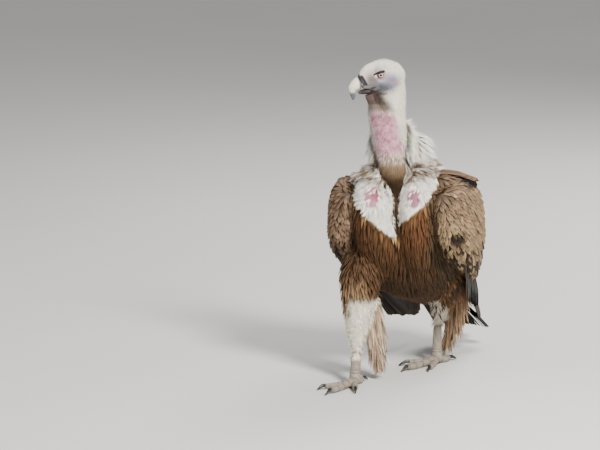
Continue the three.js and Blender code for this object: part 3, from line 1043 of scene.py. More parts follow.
class Batch(Laid):
    """Feathers of one kind, laid over the ground, then joined into one mesh."""

    def __init__(self, roots, normals, faces, long, wide, rise=1.0, stand=0.1, yaw=0.0, outward=0.0,
                 free=1.0, gravity=0.0):
        count = len(roots)
        self.count = count
        self.face = faces
        self.wide = wide * np.ones(count)
        self.pick = rng.random(count)
        depth = DEPTH_AT[GROUND.face_part[faces]] * rise
        direction = lie(roots, normals, outward)
        across = np.cross(normals, direction)
        spin = rng.normal(0, 1, count) * yaw
        direction = unit(direction * np.cos(spin)[:, None] + across * np.sin(spin)[:, None])
        here, normal = roots, normals
        line, ups, sides = [], [], []
        stands = stand * (0.6 + 0.8 * rng.random(count)) * long
        for k in range(STEPS + 1):
            s = k / STEPS
            line.append(here + normal * (depth * s ** 0.75 + stands * s * s)[:, None])
            ups.append(normal)
            sides.append(unit(np.cross(normal, direction)))
            if k == STEPS:
                break
            ahead = here + direction * (long / STEPS)[:, None]
            if s < free:
                here, normal, _ = GROUND.nearest(ahead)
                comb = lie(here, normal, outward)
                keep = np.clip((comb * direction).sum(1), 0, 1)[:, None]
                direction = unit(direction + 0.5 * keep * comb)
                direction = unit(direction - (direction * normal).sum(1)[:, None] * normal)
            else:
                direction = unit(direction + np.array((0, 0, -gravity)))
                here = ahead
        self.line, self.ups, self.sides = np.array(line), np.array(ups), np.array(sides)


class Quills(Laid):
    """Long feathers laid from their roots to their tips, each a little further out than the last."""

    def __init__(self, roots, tips, out, wide, sag, twist=0.0):
        self.count = len(roots)
        self.wide = wide * np.ones(self.count)
        self.pick = rng.random(self.count)
        self.face = GROUND.nearest(roots)[2]
        along = unit(tips - roots)
        side = unit(np.cross(out, along))
        up = np.cross(along, side)
        share = np.linspace(0, 1, STEPS + 1)[:, None, None]
        self.line = roots + (tips - roots) * share + up * (np.sin(np.pi * share) * sag)
        roll = twist * (share - 0.3)
        self.ups = up * np.cos(roll) + side * np.sin(roll)
        self.sides = side * np.cos(roll) - up * np.sin(roll)


def build(name, batch, patterns, colours, material):
    """One joined mesh of a batch's feathers, tinted by colours(share along, share across, feather)."""
    kind = (np.arange(batch.count) * PATTERN_STEP) % len(patterns)
    parts = []
    offset = 0
    for k, pattern in enumerate(patterns):
        chosen = np.flatnonzero(kind == k)
        if not len(chosen):
            continue
        shape = np.array(pattern.points)
        starts = offset + np.arange(len(chosen)) * len(shape)
        parts.append((
            batch.laid(pattern, chosen).reshape(-1, 3),
            (np.concatenate(pattern.faces)[None] + starts[:, None]).ravel(),
            np.tile([len(face) for face in pattern.faces], len(chosen)),
            np.repeat(chosen, len(shape)),
            np.tile(shape[:, 0], len(chosen)),
            np.tile(shape[:, 1], len(chosen)),
        ))
        offset += len(chosen) * len(shape)
    points, loops, sizes, feather, along, across = (np.concatenate(part) for part in zip(*parts))
    mesh = bpy.data.meshes.new(name)
    mesh.vertices.add(len(points))
    mesh.loops.add(len(loops))
    mesh.polygons.add(len(sizes))
    mesh.vertices.foreach_set("co", points.astype(np.float32).ravel())
    mesh.loops.foreach_set("vertex_index", loops.astype(np.int32))
    mesh.polygons.foreach_set("loop_start", (np.cumsum(sizes) - sizes).astype(np.int32))
    mesh.update(calc_edges=True)
    set_attribute(mesh, "tint", colours(along, across, feather))
    set_attribute(mesh, "along", along)
    set_attribute(mesh, "across", across)
    set_attribute(mesh, "pick", batch.pick[feather])
    patch = PATCH / 2 * np.stack([np.clip(across, -1, 1), 2 * along - 1], 1)
    uv = GROUND.uv[batch.face][feather] + patch
    layer = mesh.uv_layers.new(name="OFBake")
    layer.data.foreach_set("uv", uv[loops].astype(np.float32).ravel())
    piece = add_object(name, mesh, material)
    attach(piece, "root")
    print(name, batch.count, "feathers", int((sizes - 2).sum()), "triangles")
    return piece


# ---------------------------------------------------------------- materials


DEEPEN = 1.35  # power that the stored colours are raised to


class Shader:
    """A material round one Principled shader, with short ways to add nodes."""

    def __init__(self, name, **constants):
        self.material = bpy.data.materials.new(name)
        self.material.use_nodes = True
        self.tree = self.material.node_tree
        self.surface = self.tree.nodes["Principled BSDF"]
        for socket, value in constants.items():
            self.surface.inputs[socket.replace("_", " ")].default_value = value

    def node(self, kind, **values):
        """A new node. An input is named with _ for each space, and a property with P_ before its name."""
        made = self.tree.nodes.new("ShaderNode" + kind)
        for key, value in values.items():
            if key.startswith("P_"):
                setattr(made, key[2:], value)
            elif isinstance(value, bpy.types.NodeSocket):
                self.tree.links.new(value, made.inputs[key.replace("_", " ")])
            else:
                made.inputs[key.replace("_", " ")].default_value = value
        return made

    def attribute(self, name, output="Fac"):
        return self.node("Attribute", P_attribute_name=name).outputs[output]

    def tint(self):
        """The mesh's own colours, deepened."""
        return self.node("Gamma", Color=self.attribute("tint", "Color"), Gamma=DEEPEN).outputs[0]

    def math(self, operation, a, b=0.0):
        made = self.node("Math", P_operation=operation)
        for socket, value in zip(made.inputs, (a, b)):
            if isinstance(value, bpy.types.NodeSocket):
                self.tree.links.new(value, socket)
            else:
                socket.default_value = value
        return made.outputs[0]

    def place(self, scale):
        """The place on the bird, in units of scale metres."""
        coordinates = self.node("TexCoord").outputs["Object"]
        made = self.node("VectorMath", P_operation="SCALE", Scale=1 / scale)
        self.tree.links.new(coordinates, made.inputs[0])
        return made.outputs[0]

    def noise(self, size, detail=3.0, vector=None):
        vector = self.place(size) if vector is None else vector
        return self.node("TexNoise", Vector=vector, Scale=1.0, Detail=detail).outputs["Fac"]

    def feather_grid(self, along, across):
        """Noise drawn out along the barbs of a feather."""
        slope = self.math("MULTIPLY", self.math("ABSOLUTE", self.attribute("across")), -0.35)
        s = self.math("ADD", self.attribute("along"), slope)
        parts = self.node("CombineXYZ")
        self.tree.links.new(self.math("MULTIPLY", s, along), parts.inputs[0])
        self.tree.links.new(self.math("MULTIPLY", self.attribute("across"), across), parts.inputs[1])
        self.tree.links.new(self.math("MULTIPLY", self.attribute("pick"), 90.0), parts.inputs[2])
        return parts.outputs[0]

    def shaded(self, colour, factor, low, high):
        """The colour made darker where factor is 0 and lighter where it is 1."""
        ramp = self.node("MapRange", Value=factor, To_Min=low, To_Max=high)
        grey = self.node("CombineColor")
        for socket in grey.inputs:
            self.tree.links.new(ramp.outputs[0], socket)
        made = self.node("Mix", P_data_type="RGBA", P_blend_type="MULTIPLY")
        made.inputs[0].default_value = 1.0
        self.tree.links.new(colour, made.inputs[6])
        self.tree.links.new(grey.outputs[0], made.inputs[7])
        return made.outputs[2]

    def finish(self, colour=None, bump=None, strength=0.3, distance=0.001):
        if colour is not None:
            self.tree.links.new(colour, self.surface.inputs["Base Color"])
        if bump is not None:
            made = self.node("Bump", Strength=strength, Distance=distance, Height=bump)
            self.tree.links.new(made.outputs[0], self.surface.inputs["Normal"])
        return self.material


def feather_material(name, roughness, barbs, contrast, sheen=0.0, strength=0.25):
    """Feather vanes: the tint of each point with barb lines and a shade of its own for each feather."""
    made = Shader(name, Roughness=roughness, Sheen_Weight=sheen, Sheen_Roughness=0.5, Specular_IOR_Level=0.12)
    lines = made.noise(0, 2.0, made.feather_grid(barbs, 2.2))
    colour = made.shaded(made.tint(), lines, 1 - contrast, 1 + contrast)
    colour = made.shaded(colour, made.attribute("pick"), 0.88, 1.1)
    return made.finish(colour, lines, strength, 0.0006)


REACH_UNIT = 100.0  # mm; the attribute reach is stored in this unit
SCUTE = 4.0  # mm from one scute of a toe to the next


def skin_material():
    """Bare skin: fine speckle and pores, with scales on the legs."""
    made = Shader(
        "skin", Roughness=0.55, Specular_IOR_Level=0.35, Subsurface_Weight=0.06, Subsurface_Scale=0.001,
    )
    speckle = made.noise(0.0022, 3.0)
    folds = made.noise(0.006, 4.0)
    scales = made.node("TexVoronoi", P_feature="DISTANCE_TO_EDGE", Vector=made.place(0.0032), Scale=1.0)
    scaly = made.attribute("scaly")
    edge = made.node("MapRange", Value=scales.outputs["Distance"], From_Max=0.16)
    groove = made.math("SUBTRACT", 1.0, edge.outputs[0])
    # scutes cross the tops of the toes, in place of the small scales of the shank
    wave = made.math("SINE", made.math("MULTIPLY", made.attribute("reach"), math.pi * REACH_UNIT / SCUTE))
    scute = made.math("POWER", made.math("SUBTRACT", 1.0, made.math("ABSOLUTE", wave)), 3.0)
    toed = made.attribute("toed")
    scute = made.math("MULTIPLY", scute, toed)
    groove = made.math("MULTIPLY", groove, made.math("SUBTRACT", 1.0, made.math("MULTIPLY", toed, 0.7)))
    groove = made.math("MULTIPLY", made.math("MAXIMUM", groove, scute), scaly)
    colour = made.shaded(made.tint(), speckle, 0.8, 1.2)
    colour = made.shaded(colour, groove, 1.0, 0.5)
    height = made.math("ADD", made.math("MULTIPLY", folds, 0.8), made.math("MULTIPLY", speckle, 0.3))
    height = made.math("SUBTRACT", height, groove)
    return made.finish(colour, height, 0.5, 0.0012)


def horn_material(name, roughness, grain):
    """Bill and claws: the tint of each point under fine growth lines and worn patches."""
    made = Shader(name, Roughness=roughness, Coat_Weight=0.12, Coat_Roughness=0.3, Specular_IOR_Level=0.4)
    patches = made.noise(0.009, 4.0)
    lines = made.noise(grain, 2.0)
    colour = made.shaded(made.tint(), patches, 0.78, 1.16)
    colour = made.shaded(colour, lines, 0.93, 1.06)
    height = made.math("ADD", patches, made.math("MULTIPLY", lines, 0.3))
    return made.finish(colour, height, 0.2, 0.0008)


def eye_material():
    made = Shader("eye", Roughness=0.22, Coat_Weight=0.15, Coat_Roughness=0.03, Specular_IOR_Level=0.15)
    fibres = made.noise(0.0007, 2.0)
    return made.finish(made.shaded(made.tint(), fibres, 0.75, 1.25))


def floor_material():
    made = Shader("floor", Roughness=0.85, Specular_IOR_Level=0.2)
    colour = made.node("ValToRGB", Fac=made.noise(0.8, 3.0))
    colour.color_ramp.elements[0].color = (0.60, 0.59, 0.57, 1)
    colour.color_ramp.elements[1].color = (0.66, 0.65, 0.63, 1)
    return made.finish(colour.outputs[0], made.noise(0.012, 3.0), 0.1, 0.001)


# ---------------------------------------------------------------- skin, eyes, bill and claws


def unwrap(mesh):
    """Lays the skin's own shape out flat in the map OFBake."""
    mesh.uv_layers.new(name="OFBake")
    holder = placed("unwrap", mesh)
    bpy.context.view_layer.objects.active = holder
    holder.select_set(True)
    bpy.ops.object.mode_set(mode="EDIT")
    bpy.ops.mesh.select_all(action="SELECT")
    bpy.ops.uv.smart_project(angle_limit=math.radians(75), island_margin=0.002)
    bpy.ops.object.mode_set(mode="OBJECT")
    bpy.data.objects.remove(holder)


def face_places(mesh):
    """The middle of each triangle of the mesh on its map."""
    uv = read(mesh.uv_layers["OFBake"].data, "uv", 2)
    return uv[read(mesh.loop_triangles, "loops", 3, np.int32)].mean(1)


def add_skin():
    points = verts_of(skin_mesh)
    tint = marked(points, skin_part)
    name = np.array(PARTS)[skin_part]
    feathered = np.isin(name, ("breast", "trunk", "wing", "scapulars", "thigh", "plume"))
    white, bare, _, _ = breast_masks(points)
    shaded = feathered * (1 - np.maximum(bare, white)) * ease(tint.mean(1), 0.5, 0.35)
    tint = mix(tint, tint * 0.55, shaded)
    up = points[:, 2] / MM
    folds = hill(up, 30, 1.3) + 0.8 * hill(up, 36, 1.2)
    joints = ease(np.abs(toe_reach(points) % JOINT_GAP - JOINT_GAP / 2), 4.5, 0.5) * ease(up, 30, 22)
    tint = mix(tint, tint * 0.35, 0.7 * np.maximum(folds, 0.7 * joints) * np.isin(name, ("shank", "toe")))
    set_attribute(skin_mesh, "tint", tint)
    set_attribute(skin_mesh, "scaly", ease(up, 92, 78))
    set_attribute(skin_mesh, "reach", toe_reach(points) / REACH_UNIT)
    set_attribute(skin_mesh, "toed", ease(up, 40, 28))
    made = add_object("skin", skin_mesh, skin_material())
    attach(made, "root")
    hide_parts(*FLESH)


EYEBALL = (0.13, 0.065, 0.065)
IRIS = ((0.80, 0.60, 0.55), (0.34, 0.17, 0.14))  # its inner part and its rim
PUPIL = (0.004, 0.004, 0.005)


def add_eye(side, sign):
    """An eyeball with a clear bulge over its iris, turned a little ahead."""
    work = bmesh.new()
    bmesh.ops.create_uvsphere(work, u_segments=48, v_segments=40, radius=1.0)
    mesh = bpy.data.meshes.new("eyeball_" + side)
    work.to_mesh(mesh)
    work.free()
    local = verts_of(mesh)
    off_axis = np.hypot(local[:, 0], local[:, 1]) * EYE_RADIUS
    bulge = 1 + 0.05 * ease(off_axis, IRIS_RADIUS + 1, 0) * (local[:, 2] > 0)
    c, s = math.cos(EYE_TOE_OUT), math.sin(EYE_TOE_OUT)
    outward = np.array([sign * c, s, 0.0])
    forward = np.array([-sign * s, c, 0.0])
    ball = local * bulge[:, None] * EYE_RADIUS
    place = ball[:, 2:] * outward + ball[:, :1] * forward + ball[:, 1:2] * np.array([0, 0, 1.0])
    place += np.array([sign * EYE[0], EYE[1], EYE[2]])
    set_verts(mesh, from_head(place[:, 0], place[:, 1], place[:, 2]))
    if sign > 0:
        mesh.flip_normals()
    front = local[:, 2] > 0
    iris = mix(*IRIS, ease(off_axis, 4.2, IRIS_RADIUS))
    colour = painted(
        EYEBALL,
        (iris, front * ease(off_axis, IRIS_RADIUS + 0.2, IRIS_RADIUS - 0.2)),
        (DARK, 0.85 * front * ease(np.abs(off_axis - IRIS_RADIUS), 0.7, 0.2)),
        (PUPIL, front * ease(off_axis, PUPIL_RADIUS + 0.25, PUPIL_RADIUS - 0.25)),
    )
    set_attribute(mesh, "tint", colour)
    made = add_object(mesh.name, mesh, EYE_MATERIAL)
    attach(made, "root")
    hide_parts("eye_" + side)


def smooth_copy(name, nodes, rounds, sculpt=None):
    """CAD nodes as one smooth mesh, each a closed body of its own."""
    shells, _ = joined_nodes(nodes, HORN_GROW * MM)
    mesh = remeshed(shells, HORN_VOXEL * MM)
    shells.free()
    mesh.name = name
    edges = edges_of(mesh)
    points = relax(smoothed(verts_of(mesh), edges, 1.0, rounds), edges, 1.0, 2)
    if sculpt:
        points = sculpt(points)
    points[:, 2] = np.maximum(points[:, 2], HORN_OFF_FLOOR * MM)
    set_verts(mesh, points)
    return mesh


def sculpt_bill(points):
    """A keel along the ridge, a waved cutting edge and a seam where the horn leaves the cere."""
    left, ahead, up = to_head(points)
    side = np.abs(left)
    ridge = hill(side, 0, 3.2) * ease(up, 0, 8)
    cut = hill(side, 8, 4.0) * hill(up, -15.5, 3.0)
    seam = hill(ahead + 0.25 * (up + 5), 73.5, 0.9)
    narrow = (1 - 0.12 * ease(up, 0, 9)) * (1 - 0.10 * cut * np.sin((ahead - 70) * 0.42)) * (1 - 0.05 * seam)
    return from_head(left * narrow, ahead, up + 0.7 * ridge - 0.4 * seam * (up > 0))


def bill_colours(points):
    """Ivory horn, greyer by the cere, slate at the hook."""
    _, ahead, up = to_head(points)
    return painted(
        (0.74, 0.72, 0.60),
        ((0.62, 0.63, 0.56), 0.7 * ease(ahead, 80, 73) * ease(up, 6, -4)),
        ((0.10, 0.12, 0.14), 0.92 * ease(up, -15, -25)),
        ((0.34, 0.36, 0.36), 0.8 * ease(up, -9, -16) * ease(ahead, 89, 82)),
        ((0.50, 0.50, 0.48), 0.35 * ease(waves(points, 9, 31), 0.1, 0.9)),
        (SLATE, 0.75 * ease(ahead, 75.45, 72.4) * ease(up, -16, -10)),
    )


def lower_bill_colours(points):
    """Dark horn with a worn spot, paler at the tip."""
    _, ahead, up = to_head(points)
    return painted(
        (0.055, 0.038, 0.037),
        ((0.30, 0.27, 0.25), 0.12 * blob(ahead, up, (56, -22), (5, 2.4), 0.6)),
        ((0.26, 0.24, 0.21), 0.5 * ease(ahead, 70, 75)),
    )


def claw_colours(points):
    """Nearly black horn with paler worn patches."""
    colour = np.array((0.045, 0.040, 0.036)) * (1 + 0.5 * waves(points, 7, 41))[:, None]
    return mix(colour, (0.20, 0.17, 0.14), 0.5 * ease(waves(points, 11, 42), 0.2, 0.9))


def add_horn(name, nodes, colours, material, sculpt=None, rounds=6):
    """One piece of horn in the place of CAD nodes."""
    mesh = smooth_copy(name, nodes, rounds, sculpt)
    set_attribute(mesh, "tint", np.clip(colours(verts_of(mesh)), 0, 1))
    made = add_object(name, mesh, material)
    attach(made, "root")
    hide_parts(*nodes)


unwrap(skin_mesh)
GROUND = Ground(skin_mesh, skin_part)
DEPTH_AT = np.array([COAT_DEPTH[p] for p in PARTS]) * MM
add_skin()
EYE_MATERIAL = eye_material()
for side, sign in SIGNS.items():
    add_eye(side, sign)
BILL_MATERIAL = horn_material("bill", 0.38, 0.0015)
UNDER_MATERIAL = horn_material("bill_under", 0.8, 0.0015)
add_horn("bill_horn", ["bill_upper"], bill_colours, BILL_MATERIAL, sculpt_bill)
add_horn("bill_horn_under", ["bill_lower"], lower_bill_colours, UNDER_MATERIAL)
CLAW_MATERIAL = horn_material("claw", 0.42, 0.0012)
for side in SIDES:
    claws = [f"claw_{toe}_{side}" for toe in TOES]
    add_horn("claws_" + side, claws, claw_colours, CLAW_MATERIAL, rounds=2)


# ---------------------------------------------------------------- the coat


def share_of(outline):
    """The outline's half width at any share of the length."""
    at_share = np.linspace(0, 1, 60)
    widths = np.array([max(outline(s), 0.02) for s in at_share])
    return lambda along: np.interp(along, at_share, widths)


def vane_tints(base, edge, streak, outline, edge_share=0.5, streak_share=0.5, tip_share=0.0, root_shade=0.75):
    """Tints of a vane: a pale edge, a streak down its shaft, and painted shade at its root, under the
    feathers before it.
    """
    width = share_of(outline)

    def tints(along, across, feather):
        colour = base[feather]
        rim = edge[feather] if np.ndim(edge) == 2 else edge
        line = streak[feather] if np.ndim(streak) == 2 else streak
        reach = np.maximum(np.abs(across) / width(along), ease(along, 0.8, 1.0))
        colour = mix(colour, rim, edge_share * ease(reach, 0.6, 0.95))
        colour = mix(colour, rim, tip_share * ease(along, 0.6, 1.0))
        colour = mix(colour, line, streak_share * ease(np.abs(across), 0.22, 0.06))
        shade = root_shade + (1 - root_shade) * ease(along, 0.1, 0.6)
        return np.clip(colour * shade[:, None], 0, 1)

    return tints


def down_tints(base, root_shade=0.8):
    """Tints of down: each tuft one colour, with painted shade at its root."""

    def tints(along, across, feather):
        return np.clip(base[feather] * (root_shade + (1 - root_shade) * along)[:, None], 0, 1)

    return tints


def uneven(size, share):
    """A factor for each feather, at most that share over or under 1."""
    return 1 - share + 2 * share * rng.random(size)


def shades(count, vary):
    """A lighter or darker shade for each feather, as a column of factors."""
    return 1 + vary * rng.normal(0, 1, (count, 1))


def own_tints(roots, faces, vary=0.12, drop=0.0):
    """The marking drop metres below each root, a little lighter or darker from feather to feather."""
    return marked(roots - np.array((0, 0, drop)), GROUND.face_part[faces]) * shades(len(faces), vary)


HEAD_TUFTS = [tuft_pattern(4, 0.7, 0.34, seed, 0.4) for seed in range(4)]
NECK_TUFTS = [tuft_pattern(4, 0.9, 0.30, seed, 0.5) for seed in range(10, 14)]
DOWN_TUFTS = [tuft_pattern(7, 1.0, 0.22, seed, 0.8) for seed in range(20, 25)]
WOOL_TUFTS = [tuft_pattern(9, 1.3, 0.12, seed, 0.8) for seed in range(50, 55)]
RUFF_PLUMES = [tuft_pattern(9, 0.9, 0.26, seed, 0.7) for seed in range(30, 34)]
TROUSER_PLUMES = [barbed_pattern(pointed, 9, 0.03, 0.26, seed, 0.3) for seed in range(40, 43)]
BODY_VANES = [vane_pattern(pointed, 6, 4, 0.25, f) for f in (0.0, 0.10, 0.16)]
WING_SHAPES = ((rounded, 0.03), (lanced, 0.05), (lanced, 0.09))  # outline and how frayed it is
WING_VANES = [vane_pattern(outline, 7, 6, 0.2, frayed) for outline, frayed in WING_SHAPES]
QUILL_VANES = [vane_pattern(strap, 14, 8, 0.12, f) for f in (0.0, 0.015)]

DOWN = feather_material("down", 0.85, 3.0, 0.06, 0.08, 0.15)
FEATHER = feather_material("feather", 0.7, 26.0, 0.16)
QUILL = feather_material("quill", 0.6, 60.0, 0.14)


def grow_head_down():
    """The shortest down: thick on the crown, thin on the face, none on the lids, cere and jaw line."""

    def downy(points):
        left, ahead, up = to_head(points)
        x, y, out = eye_view(left, ahead, up)
        lids = np.maximum(ease(lid_gap(x, y), -4.5, -2.5), eye_line(x, y + 0.8))
        lids = lids * (out > 0) * (np.abs(left) > 10)
        mouth = ease(np.abs(up - mouth_line(ahead)), 4, 2) * ease(ahead, 34, 40)
        return 1 - np.maximum(np.maximum(lids, ease(ahead, 50, 55)), mouth)

    places, normals, faces = GROUND.roots(("head", "eye"), 1.75 * MM, downy)
    left, ahead, up = to_head(places)
    x, y, out = eye_view(left, ahead, up)
    near_eye = ease(np.hypot(x, y), 24, 11) * (out > 0)
    face = np.maximum(ease(ahead, 26, 44), near_eye)
    low = ease(up, -18, -50)
    long = (4.6 - 2.9 * face + 3.0 * low * (1 - face)) * MM
    batch = Batch(places, normals, faces, long, long * 0.26, stand=0.22, yaw=0.25)
    base = own_tints(places, faces, 0.07)
    build("down_head", batch, HEAD_TUFTS, down_tints(base, 0.86), DOWN)


def grow_neck_down():
    """Smooth white down round the back of the neck, and white flecks on the bare front."""
    places, normals, faces = GROUND.roots(("neck",), 2.7 * MM, lambda p: 1 - 0.62 * neck_bareness(p))
    bare = neck_bareness(places)
    up = to_bird(places)[2]
    long = (7.5 - 4.0 * bare + 6 * ease(up, 545, 500) + 9 * ease(up, 612, 570) * (1 - bare)) * MM
    batch = Batch(places, normals, faces, long, long * 0.22, stand=0.2 + 0.15 * bare, yaw=0.28)
    base = own_tints(places, faces, 0.07)
    fleck = (rng.random(batch.count) < 0.6) * ease(bare, 0.15, 0.6) * ease(up, 662, 640)
    base = mix(base, (0.88, 0.80, 0.79), 0.9 * fleck)
    build("down_neck", batch, NECK_TUFTS, down_tints(base, 0.84), DOWN)


def grow_ruff():
    """Soft white plumes all round the base of the neck, standing out most along the top."""

    def covered(points):
        return collar(points) * (to_bird(points)[2] > 484)

    whole, rest = GROUND.roots(("ruff",), 4.0 * MM), GROUND.roots(("trunk", "breast"), 4.4 * MM, covered)
    places, normals, faces = (np.concatenate(pair) for pair in zip(whole, rest))
    left, _, up = to_bird(places)
    top = ease(up, 520, 570)
    long = (25 + 9 * top) * MM * uneven(len(faces), 0.2)
    stand = 0.10 + 0.12 * top + 0.14 * top * ease(left, 10, 50)
    batch = Batch(places, normals, faces, long, 5.0 * MM, rise=0.85, stand=stand, yaw=0.2, outward=0.5)
    base = own_tints(places, faces, 0.06)
    build("ruff_plumes", batch, RUFF_PLUMES, down_tints(base, 0.8), DOWN)


def grow_breast():
    """White down in two patches, and lance-shaped feathers over the rest of the body."""

    def white_down(points):
        white = breast_masks(points)[0]
        tips = breast_masks(points - np.array((0, 0, 13 * MM)))
        bald = np.maximum(tips[1], breast_masks(points + np.array((0, 0, 4 * MM)))[1])
        return tips[0] * white * (1 - 0.96 * bald)

    places, normals, faces = GROUND.roots(("breast", "trunk"), 3.6 * MM, white_down)
    long = 13 * MM * uneven(len(faces), 0.2)
    batch = Batch(places, normals, faces, long, 3.9 * MM, rise=0.9, stand=0.2, yaw=0.35)
    base = WHITE * shades(batch.count, 0.05)
    build("down_breast", batch, DOWN_TUFTS, down_tints(base, 0.84), DOWN)

    def feathered(points):
        white, bare, _, _ = breast_masks(points)
        return (1 - np.maximum(white, bare)) * (1 - collar(points))

    places, normals, faces = GROUND.roots(("breast", "trunk"), 7.3 * MM, feathered)
    long = (31 + 15 * ease(to_bird(places)[2], 400, 250)) * MM * uneven(len(faces), 0.2)
    batch = Batch(places, normals, faces, long, 4.3 * MM, rise=0.95, stand=0.035, yaw=0.15)
    base = own_tints(places, faces, 0.13, 18 * MM)
    tints = vane_tints(base, (0.24, 0.155, 0.09), (0.34, 0.23, 0.135), pointed, 0.10, 0.28, 0.06, 0.84)
    build("feathers_body", batch, BODY_VANES, tints, FEATHER)


# the right wing's pale edges are darker: painted shade of the far wing
COVERT_EDGE = {"left": np.array((0.43, 0.335, 0.225)), "right": np.array((0.30, 0.22, 0.155))}


def grow_coverts(side, sign):
    """Coverts of one wing, pale edged: small and close at the front edge, long and sparse at the back."""

    def own_side(points):
        return 1.0 * (to_bird(points)[0] * sign > 0)

    places, normals, faces = GROUND.roots(("wing", "scapulars"), 7.4 * MM, own_side)
    _, ahead, up = to_bird(places)
    back = np.clip((60 - ahead) / 250 + (385 - up) / 300, 0, 1)
    thin = rng.random(len(faces)) > 0.80 * back ** 0.7
    places, normals, faces, back = places[thin], normals[thin], faces[thin], back[thin]
    long = (20 + 40 * back) * MM * uneven(len(back), 0.15)
    wide = (4.8 + 5.2 * back) * MM
    batch = Batch(places, normals, faces, long, wide, rise=0.95, stand=0.03, yaw=0.2, free=0.8, gravity=0.2)
    base = own_tints(places, faces, 0.16)
    left, _, up = to_bird(places)
    black = rng.random(batch.count) < ease(up, 345, 285) * (0.6 + 0.35 * ease(left * sign, 138, 104))
    base = np.where(black[:, None], np.array(UMBER) * 0.6, base)
    edge = COVERT_EDGE[side] * np.clip(base.mean(1) / 0.2, 0.4, 1.2)[:, None]
    tints = vane_tints(base, edge, (0.15, 0.105, 0.068), lanced, 0.42, 0.3, 0.25, 0.8)
    build("coverts_" + side, batch, WING_VANES, tints, FEATHER)


def grow_mantle():
    """Long feathers of the mantle that lie out along the top of the left wing, over a dark gap."""
    # count, first root, first tip, half width, colour
    layers = [
        (5, (84, 22, 474), (142, 8, 466), 9.0, DARK),
        (7, (58, 36, 488), (136, 22, 483), 6.0, (0.22, 0.155, 0.115)),
    ]
    roots, tips, halves, base = [], [], [], []
    for count, root, tip, half, colour in layers:
        step = np.arange(count)[:, None]
        roots.append(at(*root) + step * np.array((5.0, 4.0, -0.8)) * MM)
        tips.append(at(*tip) + step * np.array((5.0, 6.0, -3.4)) * MM)
        halves.append(np.full(count, half * MM))
        base.append(colour * uneven((count, 1), 0.25))
    base[-1][-1] = (0.15, 0.075, 0.038)
    base = np.vstack(base)
    batch = Quills(np.vstack(roots), np.vstack(tips), way(0.3, 0.8, 0.8), np.hstack(halves), 6 * MM)
    tints = vane_tints(base, base * 1.7, base * 0.6, strap, 0.5, 0.4, 0.0, 0.8)
    build("mantle_edge", batch, QUILL_VANES, tints, FEATHER)


def grow_legs():
    """Lance-shaped thigh feathers, white wool round the knee, long trouser plumes behind."""

    def dressed(points):
        tips = leg_colours(points - np.array((0, 0, 18 * MM)))[:, 2]
        return ease(to_bird(points)[2], 112, 140) * ease(tips, 0.42, 0.30)

    places, normals, faces = GROUND.roots(("thigh",), 7.2 * MM, dressed)
    long = (26 + 10 * ease(to_bird(places)[2], 260, 180)) * MM * uneven(len(faces), 0.15)
    batch = Batch(
        places, normals, faces, long, 4.0 * MM, rise=0.95, stand=0.06, yaw=0.16, free=0.9, gravity=0.3,
    )
    base = own_tints(places, faces, 0.2)
    shade = np.clip(base.mean(1) / 0.19, 0.25, 1.1)[:, None]
    edge, streak = np.array((0.40, 0.29, 0.18)) * shade, np.array((0.42, 0.305, 0.19)) * shade
    tints = vane_tints(base, edge, streak, pointed, 0.22, 0.3, 0.2, 0.66)
    build("feathers_thighs", batch, BODY_VANES, tints, FEATHER)

    def woolly(points):
        return ease(leg_colours(points)[:, 2], 0.30, 0.55) * ease(to_bird(points)[2], 46, 60)

    places, normals, faces = GROUND.roots(("thigh", "shank"), 3.1 * MM, woolly)
    long = (9 + 4 * ease(to_bird(places)[2], 90, 130)) * MM * uneven(len(faces), 0.2)
    batch = Batch(places, normals, faces, long, 4.0 * MM, rise=0.8, stand=0.22, yaw=0.6)
    base = own_tints(places, faces, 0.08)
    build("wool_legs", batch, WOOL_TUFTS, down_tints(base, 0.84), DOWN)

    places, normals, faces = GROUND.roots(("plume",), 6.0 * MM)
    left, _, up = to_bird(places)
    long = np.clip(up - 14, 12, 72) * MM * uneven(len(faces), 0.15)
    batch = Batch(places, normals, faces, long, 3.8 * MM, rise=0.9, stand=0.1, yaw=0.3, free=0.4, gravity=0.4)
    pale = mix((0.62, 0.50, 0.40), (0.17, 0.13, 0.09), rng.random(batch.count))
    base = np.where((left < LEGS_PART)[:, None], pale, own_tints(places, faces, 0.2))
    tints = vane_tints(base, (0.62, 0.50, 0.37), (0.62, 0.50, 0.38), pointed, 0.25, 0.35, 0.2, 0.6)
    build("trousers", batch, TROUSER_PLUMES, tints, FEATHER)


def row(first, last, count, sweep=0.0):
    """Places from one to the other, bowed down by sweep."""
    share = np.linspace(0, 1, count)[:, None]
    places = at(*first) * (1 - share) + at(*last) * share
    places[:, 2] -= (np.sin(np.pi * share) * sweep * MM)[:, 0]
    return places


